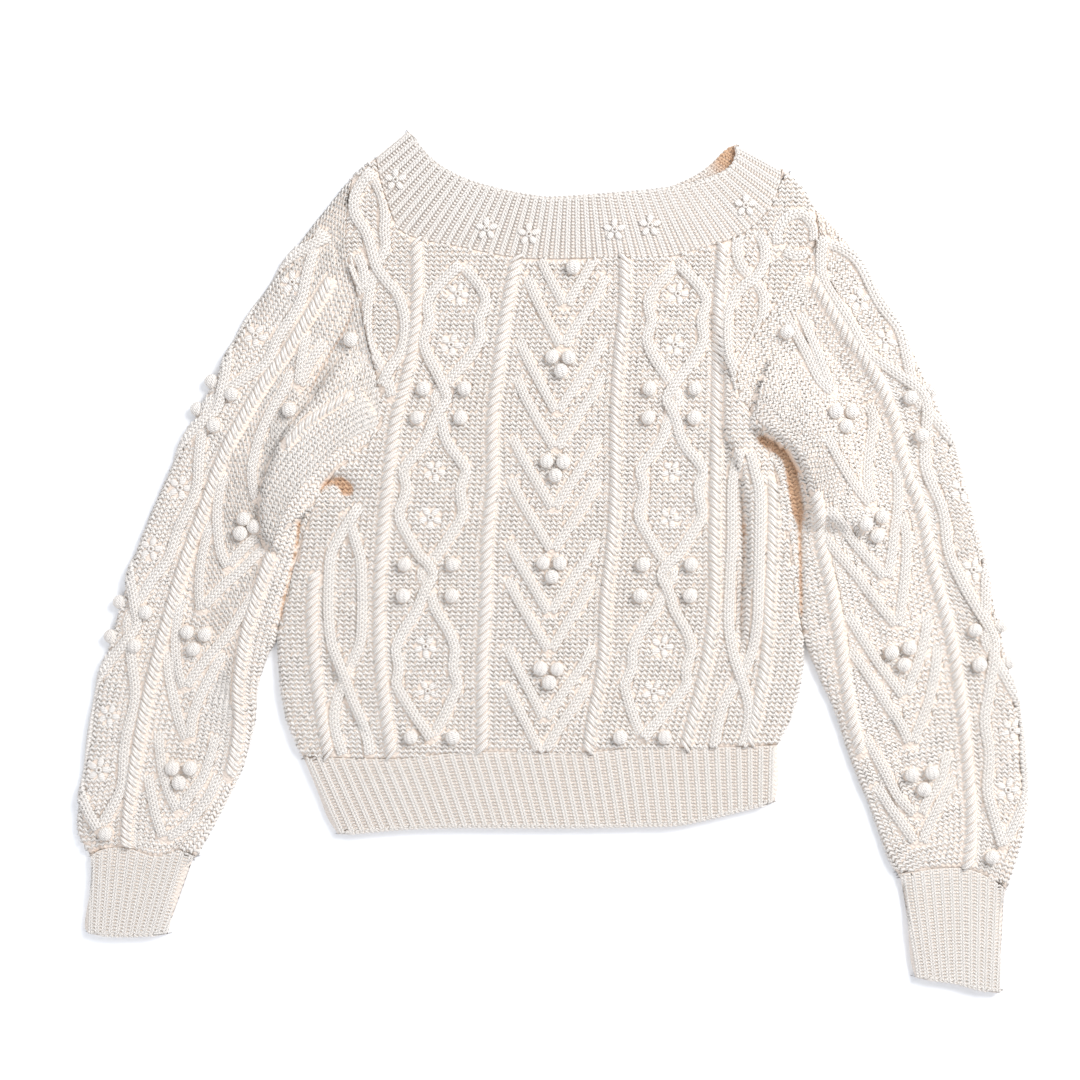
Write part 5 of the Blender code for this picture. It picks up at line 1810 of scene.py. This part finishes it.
LEFT_SLEEVE = Sleeve(
    name="left_sleeve",
    rows=(
        SEAMS.left_armhole,
        ((-226, 286), (-226, 269), (-215, 226), (-194, 170), (-181, 109), (-215, 50), (-248, -68)),
        ((-267, 227), (-260, 212), (-237, 190), (-229, 136), (-210, 82), (-228, 37), (-250, -74)),
        ((-296, 176), (-284, 170), (-262, 155), (-251, 91), (-235, 50), (-242, 14), (-255, -82)),
        ((-328, 113), (-319, 115), (-293, 100), (-271, 46), (-251, 10), (-251, -26), (-260, -94)),
        ((-356, 52), (-346, 50), (-313, 46), (-287, 1), (-266, -35), (-260, -62), (-266, -116)),
        ((-376, 0), (-366, -1), (-331, -4), (-302, -35), (-276, -71), (-270, -94), (-267, -131)),
        ((-395, -67), (-378, -62), (-348, -62), (-317, -71), (-282, -116), (-275, -127), (-268, -145)),
        ((-409, -119), (-394, -121), (-364, -125), (-328, -130), (-281, -145), (-276, -152), (-272, -161)),
        ((-420, -193), (-405, -193), (-376, -190), (-331, -190), (-290, -193), (-285, -193), (-281, -191)),
        ((-427, -240), (-407, -242), (-382, -240), (-341, -242), (-314, -238), (-308, -237), (-302, -233)),
        ((-416, -266), (-403, -259), (-382, -258), (-356, -266), (-336, -260), (-328, -262), (-320, -266)),
    ),
    bobbles=((-180, 199), (-287, 150), (-303, 122), (-364, -46), (-374, -76), (-400, -245),
             (-235, 136), (-237, 123), (-276, 38), (-279, 25), (-267, 31), (-327, -64), (-311, -66),
             (-321, -79), (-340, -186), (-324, -186), (-334, -199)),
    edge_bobbles=((-306, 162), (-319, 137), (-389, -37), (-397, -68)),
    chevrons=(
        ((-226, 158), (-216, 180), (-203, 198)), ((-227, 160), (-224, 184), (-220, 206)),
        ((-262, 52), (-267, 62), (-269, 80), (-266, 98), (-260, 118), (-250, 138), (-240, 155),
         (-233, 174)),
        ((-291, -5), (-297, 8), (-300, 30), (-300, 50), (-297, 70), (-293, 80)),
        ((-289, -4), (-281, 7), (-269, 19), (-261, 26)),
        ((-315, -44), (-317, -25), (-315, 0), (-311, 20), (-305, 36)),
        ((-312, -40), (-296, -23), (-281, -10), (-267, 4), (-256, 13)),
        ((-331, -114), (-336, -98), (-338, -75), (-336, -50), (-333, -32)),
        ((-328, -112), (-317, -97), (-306, -83), (-294, -70), (-283, -54), (-272, -37), (-264, -24)),
        ((-328, -160), (-334, -146), (-340, -122), (-344, -98), (-345, -80)),
        ((-325, -158), (-323, -142), (-318, -127), (-311, -112), (-303, -97), (-293, -80)),
        ((-336, -224), (-343, -210), (-349, -190), (-352, -170), (-353, -152)),
        ((-333, -222), (-323, -208), (-313, -194), (-306, -174), (-301, -154)),
        ((-349, -248), (-355, -230), (-359, -211), (-363, -190)),
        ((-345, -248), (-331, -240), (-319, -227), (-307, -210), (-299, -192)),
    ),
    rope_end=9.0,
    flowers=((-233, 251), (-266, 203), (-334, 66), (-360, 11), (-398, -139), (-407, -188)),
    twists=((-200, 294), (-307, 140), (-384, -53), (-404, -247)),
    plain=((-130, 190), (-160, 188), (-180, 189), (-194, 182), (-204, 167), (-214, 152), (-228, 135),
           (-242, 117), (-251, 100), (-258, 81), (-263, 65), (-264, 45), (-262, 23), (-254, 12), (-244, 4),
           (-200, 0), (-130, 60)),
    folded_rope=((-237, 104), (-219, 123), (-197, 138), (-176, 150)),
    is_left=True,
    flat=(0.40, 0.62),
)
RIGHT_SLEEVE = Sleeve(
    name="right_sleeve",
    rows=(
        SEAMS.right_armhole,
        ((265, 289), (256, 269), (242, 242), (220, 200), (193, 140), (213, 86), (230, -72)),
        ((298, 238), (285, 219), (265, 205), (240, 172), (213, 118), (224, 59), (233, -81)),
        ((323, 194), (312, 179), (291, 168), (260, 143), (228, 89), (231, 26), (238, -92)),
        ((348, 140), (338, 136), (308, 129), (266, 112), (237, 55), (236, -13), (243, -104)),
        ((364, 98), (352, 95), (317, 89), (279, 66), (243, 14), (241, -44), (248, -116)),
        ((379, 46), (370, 43), (333, 44), (292, 14), (251, -22), (248, -73), (255, -130)),
        ((391, -4), (380, -13), (343, -5), (303, -33), (258, -62), (258, -100), (262, -150)),
        ((404, -62), (395, -71), (359, -67), (311, -85), (266, -116), (269, -143), (270, -175)),
        ((420, -130), (407, -132), (369, -130), (320, -136), (275, -159), (278, -179), (281, -204)),
        ((426, -184), (411, -186), (375, -184), (328, -192), (292, -204), (291, -212), (288, -220)),
        ((426, -242), (408, -242), (378, -238), (331, -249), (312, -256), (308, -258), (303, -263)),
        ((411, -296), (400, -288), (375, -277), (345, -277), (328, -280), (320, -281), (313, -282)),
    ),
    bobbles=((212, 206), (323, 147), (333, 113), (381, -62), (385, -93), (396, -266), (255, 134),
             (270, 134), (264, 121), (282, 33), (297, 40), (293, 23), (306, -82), (322, -78), (317, -93),
             (324, -192), (342, -190), (335, -205)),
    edge_bobbles=((343, 154), (355, 123), (406, -58), (413, -91)),
    chevrons=(
        ((253, 152), (241, 164), (227, 193), (211, 221)),
        ((251, 155), (245, 172), (235, 200), (224, 225)),
        ((288, 53), (284, 70), (285, 90), (288, 110), (290, 130), (285, 143)),
        ((286, 52), (281, 57), (272, 68), (262, 83), (252, 101), (246, 114)),
        ((302, -15), (306, 2), (309, 26), (312, 52), (312, 78), (309, 92)),
        ((300, -14), (289, -2), (275, 14), (262, 31), (245, 49)),
        ((312, -58), (315, -42), (318, -18), (320, 8), (319, 28), (315, 44)),
        ((310, -57), (291, -34), (272, -9), (252, 14), (237, 37)),
        ((320, -120), (326, -103), (332, -85), (337, -65), (339, -48)),
        ((317, -121), (304, -104), (291, -86), (278, -66), (266, -46)),
        ((326, -163), (333, -145), (340, -126), (344, -108), (347, -88), (348, -76)),
        ((322, -163), (315, -147), (303, -130), (291, -111), (279, -93), (269, -80)),
        ((333, -227), (340, -213), (350, -198), (355, -181), (358, -170)),
        ((327, -227), (313, -213), (301, -191), (290, -171), (280, -154)),
        ((334, -253), (341, -235), (350, -217), (358, -203), (362, -194)),
        ((327, -252), (315, -235), (303, -218), (293, -201)),
    ),
    rope_end=9.3,
    flowers=((278, 235), (301, 199), (370, 64), (380, -8), (415, -152), (411, -206)),
    twists=((240, 291), (336, 150), (395, -72), (410, -268)),
    plain=((150, 215), (190, 236), (202, 224), (216, 194), (232, 164), (243, 142), (245, 112), (240, 88),
           (234, 62), (230, 42), (214, 42), (160, 110)),
    folded_rope=(),
    swing=18.0,
    is_left=False,
    flat=(0.40, 0.64),
)


# --- The ribbed bands ---


def with_middles(line: Array) -> Array:
    """The same polyline with a point added halfway along each stretch."""
    return np.insert(line, np.arange(1, len(line)), 0.5 * (line[1:] + line[:-1]), axis=0)


@dataclass(frozen=True)
class RibbedBand:
    """A ribbed tube whose single ribs run from its free edge to its seam.

    Its sides run from the free edge to the seam, the first on the right of someone who stands on
    the free edge and faces the seam.
    """

    name: str
    ribs: int
    free_edge: tuple
    seam: tuple
    right: tuple
    left: tuple
    flat: tuple
    node: str
    back_edge: tuple = ()
    flowers: tuple = ()
    levels: int = 14
    rib_height: float = 0.3
    leg_height: float = 0.86
    bar_width: float = 0.95
    shaded: bool = False            # whether its furrows are wide enough to lie in shade
    seed: int = 70

    def outline(self, free_edge: Array, seam: Array, levels: int) -> Outline:
        """Along the free edge, up the right side, back along the seam, down the left."""
        right = smooth_line(self.right, levels)
        left = smooth_line(self.left, levels)
        return Outline([("seam", free_edge), ("fold", right), ("seam", seam[::-1]), ("fold", left[::-1])])

    def stitches(self, pullover: Pullover, ribs: Yarnwork, furrows: Yarnwork, free_edge: Array,
                 seam: Array, depth: float | None = None) -> None:
        """Lay the ribs' stitches.

        Args:
            pullover: what the pieces share.
            ribs: takes the stitches of the ribs.
            furrows: takes those between them.
            free_edge: the free edge, four stretches to a rib.
            seam: the seam, likewise.
            depth: how far in from the free edge they reach, or None for all the way.
        """
        pouch = pullover.pouch
        wide = arc_lengths(seam)[-1] / self.ribs / PITCH
        blooms = points_of(self.flowers) if self.flowers else np.zeros((0, 2))
        # By turns a furrow and a rib, each a straight line from the free edge to the seam.
        for k in range(0, 4 * self.ribs + 1, 2):
            line = resample(np.array([free_edge[k], seam[k]]), 12)
            length = arc_lengths(line)[-1]
            run = np.arange(min(length, depth or length) - 1.6, 1.2, -RIB_COURSE)
            spots = np.column_stack([np.interp(run, arc_lengths(line), line[:, c]) for c in range(2)])
            clear = np.ones(len(run), bool)
            for bloom in blooms:
                clear &= np.linalg.norm(spots - bloom, axis=1) > FLOWER_REACH - 3.5
            run = run[clear]
            if k % 4 == 2:
                rib = Strand(line, Profile(RIB.half_width * wide, RIB.height))
                ribs.knit(pouch.leg, rib, run, [(0.0, 1.08 * wide)], (0.84 * wide, 0.8, self.leg_height))
            elif 0 < k < 4 * self.ribs:
                furrow = Strand(line, LEVEL)
                furrows.follow(pouch.bar, furrow, run, np.zeros(len(run)),
                               (self.bar_width * wide, 1.15, 1.1))

    def cast_off(self, work: Yarnwork, pullover: Pullover, free_edge: Array) -> None:
        """Bind the free edge with a chain of stitches."""
        inset = resample(free_edge, len(free_edge) - 1) + normals_of(free_edge) * 1.1
        chain = Strand(inset, LEVEL)
        run = np.arange(4.6, arc_lengths(inset)[-1] - 4.2, 4.4)
        work.knit(pullover.pouch.leg, chain, run, [(0.0, 0.9)], (0.8, 0.85, 1.0))

    def build(self, pullover: Pullover) -> list[Object]:
        """Make the band's cloth and its stitches."""
        finish = pullover.finish
        coarse_seam = smooth_line(self.seam, self.ribs)
        seam = with_middles(with_middles(coarse_seam))
        free_edge = smooth_line(self.free_edge, 4 * self.ribs)
        back_edge = smooth_line(self.back_edge or self.free_edge, 4 * self.ribs)
        outline = self.outline(free_edge, seam, self.levels)
        ground = Ground(outline)

        columns = len(free_edge) - 1
        total = columns + 1
        shares = np.linspace(0, 1, self.levels + 1)
        flat = np.vstack([free_edge + (seam - free_edge) * share for share in shares])
        rim = list(range(total)) + [level * total + columns for level in range(1, self.levels)]
        rim += [self.levels * total + columns - k for k in range(total)]
        rim += [level * total for level in range(self.levels - 1, 0, -1)]
        flat[rim] = outline.points
        faces = [(low, low + 1, low + 1 + total, low + total) for level in range(self.levels)
                 for low in range(level * total, level * total + columns)]
        swell = -np.cos(np.arange(total) * math.pi / 2) * self.rib_height
        swell[[0, -1]] = 0
        plain = ground.height(flat)
        heights = plain + 0.2 * (plain > FOLD_HEIGHT + 1.0) + np.tile(swell, self.levels + 1)
        heights[[0, columns, self.levels * total, self.levels * total + columns]] = FOLD_HEIGHT
        under = self.outline(free_edge[::4], coarse_seam, 5)
        floor = self.outline(back_edge[::4], coarse_seam, 5)
        shell = tube(ground, (flat, faces, rim), heights, under, floor)
        cloth = shell.to_object(f"{self.name}_cloth", finish.rib_ground, Slot.RIB)
        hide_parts(self.node)

        ribs = Yarnwork(ground, self.seed, 0.0)
        furrows = Yarnwork(ground, self.seed + 3, 0.0)
        self.stitches(pullover, ribs, furrows, free_edge, seam)
        self.cast_off(ribs, pullover, free_edge)
        # Shaded bands give their furrows the finish with painted shade.
        painted_shade = finish.furrow if self.shaded else finish.yarn
        pieces = [ribs.to_object(f"{self.name}_ribs", finish.yarn, Slot.RIB),
                  furrows.to_object(f"{self.name}_furrows", painted_shade, Slot.RIB)]
        if self.flowers:
            blooms = Yarnwork(ground, self.seed + 5)
            across, up = np.array([[1.0, 0.0]]), np.array([[0.0, 1.0]])
            for spot in self.flowers:
                blooms.lay(pullover.pouch.flower, points_of((spot,)), across, up, 0.95, -1.2)
            pieces.append(blooms.to_object(f"{self.name}_flowers", finish.yarn, Slot.CABLE))
        if self.back_edge:
            lower = Yarnwork(Level(WALL), self.seed + 9, 0.0)
            self.stitches(pullover, lower, lower, back_edge, seam, 22.0)
            self.cast_off(lower, pullover, back_edge)
            # The inside of the back, seen in the neck's opening, takes the furrows' finish with its painted
            # shade.
            pieces.append(lower.to_object(f"{self.name}_inside", finish.furrow, Slot.RIB))
        declared(cloth, outline, 2, self.flat)
        return [cloth, *pieces]


HEM = RibbedBand(
    name="hem", node="hem_rib", ribs=43, flat=(0.88, 0.075), seed=71, shaded=True, rib_height=0.45,
    free_edge=((-192, -247), (-141, -242), (-94, -240), (-45, -240), (27, -240), (80, -239), (114, -238),
               (148, -231), (172, -225), (202, -218)),
    seam=SEAMS.hem,
    right=((202, -218), (205, -202), (205, -188), (204, -166)),
    left=((-192, -247), (-202, -231), (-211, -207), (-224, -176)),
)
# The neckband's free edge is at its top, so it is walked from right to left.
NECKBAND = RibbedBand(
    name="neckband", node="neckband", ribs=46, flat=(0.88, 0.085), seed=81, levels=18, rib_height=0.35,
    leg_height=0.5, bar_width=1.1, shaded=True,
    free_edge=((165, 376), (166, 363), (159, 353), (145, 346), (125, 340), (94, 335), (50, 331), (6, 328),
               (-15, 329), (-50, 336), (-81, 346), (-107, 362), (-129, 388)),
    back_edge=((165, 376), (156, 369), (145, 358), (125, 345), (94, 334), (50, 327), (6, 324), (-15, 325),
               (-50, 331), (-81, 341), (-107, 357), (-129, 388)),
    seam=SEAMS.neck[::-1],
    right=((-129, 388), (-158, 364)),
    left=((165, 376), (185, 367), (209, 354)),
    flowers=((-140, 343), (-58, 299), (-20, 294), (57, 298), (89, 302), (175, 320)),
)
LEFT_CUFF = RibbedBand(
    name="left_cuff", node="left_cuff", ribs=CUFF_RIBS, flat=(0.17, 0.075), seed=91, leg_height=0.6,
    bar_width=1.2,
    free_edge=((-418, -336), (-388, -338), (-346, -337)),
    seam=LEFT_SLEEVE.rows[-1],
    right=((-346, -337), (-343, -319), (-339, -299), (-334, -283), (-328, -273), (-320, -266)),
    left=((-418, -336), (-421, -330), (-419, -314), (-415, -294), (-414, -276), (-416, -266)),
)
RIGHT_CUFF = RibbedBand(
    name="right_cuff", node="right_cuff", ribs=CUFF_RIBS, flat=(0.18, 0.105), seed=95, leg_height=0.6,
    bar_width=1.2,
    free_edge=((329, -376), (362, -380), (384, -386), (406, -390)),
    seam=RIGHT_SLEEVE.rows[-1][::-1],
    right=((406, -390), (405, -359), (404, -332), (406, -310), (411, -296)),
    left=((329, -376), (325, -361), (323, -336), (322, -310), (320, -295), (313, -282)),
)


# --- The studio ---


@dataclass(frozen=True)
class Studio:
    """A pale floor, soft light and a camera straight overhead."""

    eye: tuple = (-0.0101, 0.0199, 1.55)
    width_seen: float = 0.972       # at the height of the garment's top
    top: float = 0.01
    floor: str = "#FFFFFF"
    daylight: float = 0.7

    def build(self) -> None:
        """Set up the floor, the lights and the camera."""
        scene = bpy.context.scene
        bpy.ops.object.select_all(action="DESELECT")
        bpy.ops.mesh.primitive_plane_add(size=7, location=(0, 0, -0.0006))
        floor = bpy.context.object
        floor.name = "floor"
        paper = bpy.data.materials.new("matt_backdrop_paper")
        paper.use_nodes = True
        shader = paper.node_tree.nodes["Principled BSDF"]
        shader.inputs["Base Color"].default_value = linear(self.floor)
        shader.inputs["Roughness"].default_value = 0.95
        floor.data.materials.append(paper)

        world = bpy.data.worlds.new("soft_room")
        world.use_nodes = True
        sky = world.node_tree.nodes["Background"]
        sky.inputs["Color"].default_value = linear("#F5F8FF")
        sky.inputs["Strength"].default_value = self.daylight
        scene.world = world
        self.lamp("key_softbox", (1.6, 1.4, 2.0), 1.3, 80.0, "#FCFDFF")
        self.lamp("fill_softbox", (-1.0, -1.2, 1.6), 1.6, 11.0, "#F1F6FF")

        lens = bpy.data.cameras.new("overhead")
        lens.sensor_width = 36
        lens.lens = lens.sensor_width * (self.eye[2] - self.top) / self.width_seen
        camera = bpy.data.objects.new("overhead", lens)
        camera.location = self.eye
        scene.collection.objects.link(camera)
        scene.camera = camera
        scene.view_settings.view_transform = "Standard"

    def lamp(self, name: str, place: tuple, size: float, power: float, colour: str) -> None:
        """Hang a square softbox that faces the middle of the garment."""
        light = bpy.data.lights.new(name, "AREA")
        light.size = size
        light.energy = power
        light.color = linear(colour)[:3]
        lamp = bpy.data.objects.new(name, light)
        lamp.location = place
        lamp.rotation_euler = (-Vector(place)).to_track_quat("-Z", "Y").to_euler()
        bpy.context.scene.collection.objects.link(lamp)


def main() -> None:
    """Build the pullover piece by piece, then the studio."""
    logging.basicConfig(level=logging.INFO, format="%(message)s")
    Studio().build()
    pullover = Pullover()
    made = []
    for part in (Body(), LEFT_SLEEVE, RIGHT_SLEEVE, HEM, NECKBAND, LEFT_CUFF, RIGHT_CUFF):
        made += part.build(pullover)
    LOG.info("%d pieces", len(made))


if __name__ == "__main__":
    main()
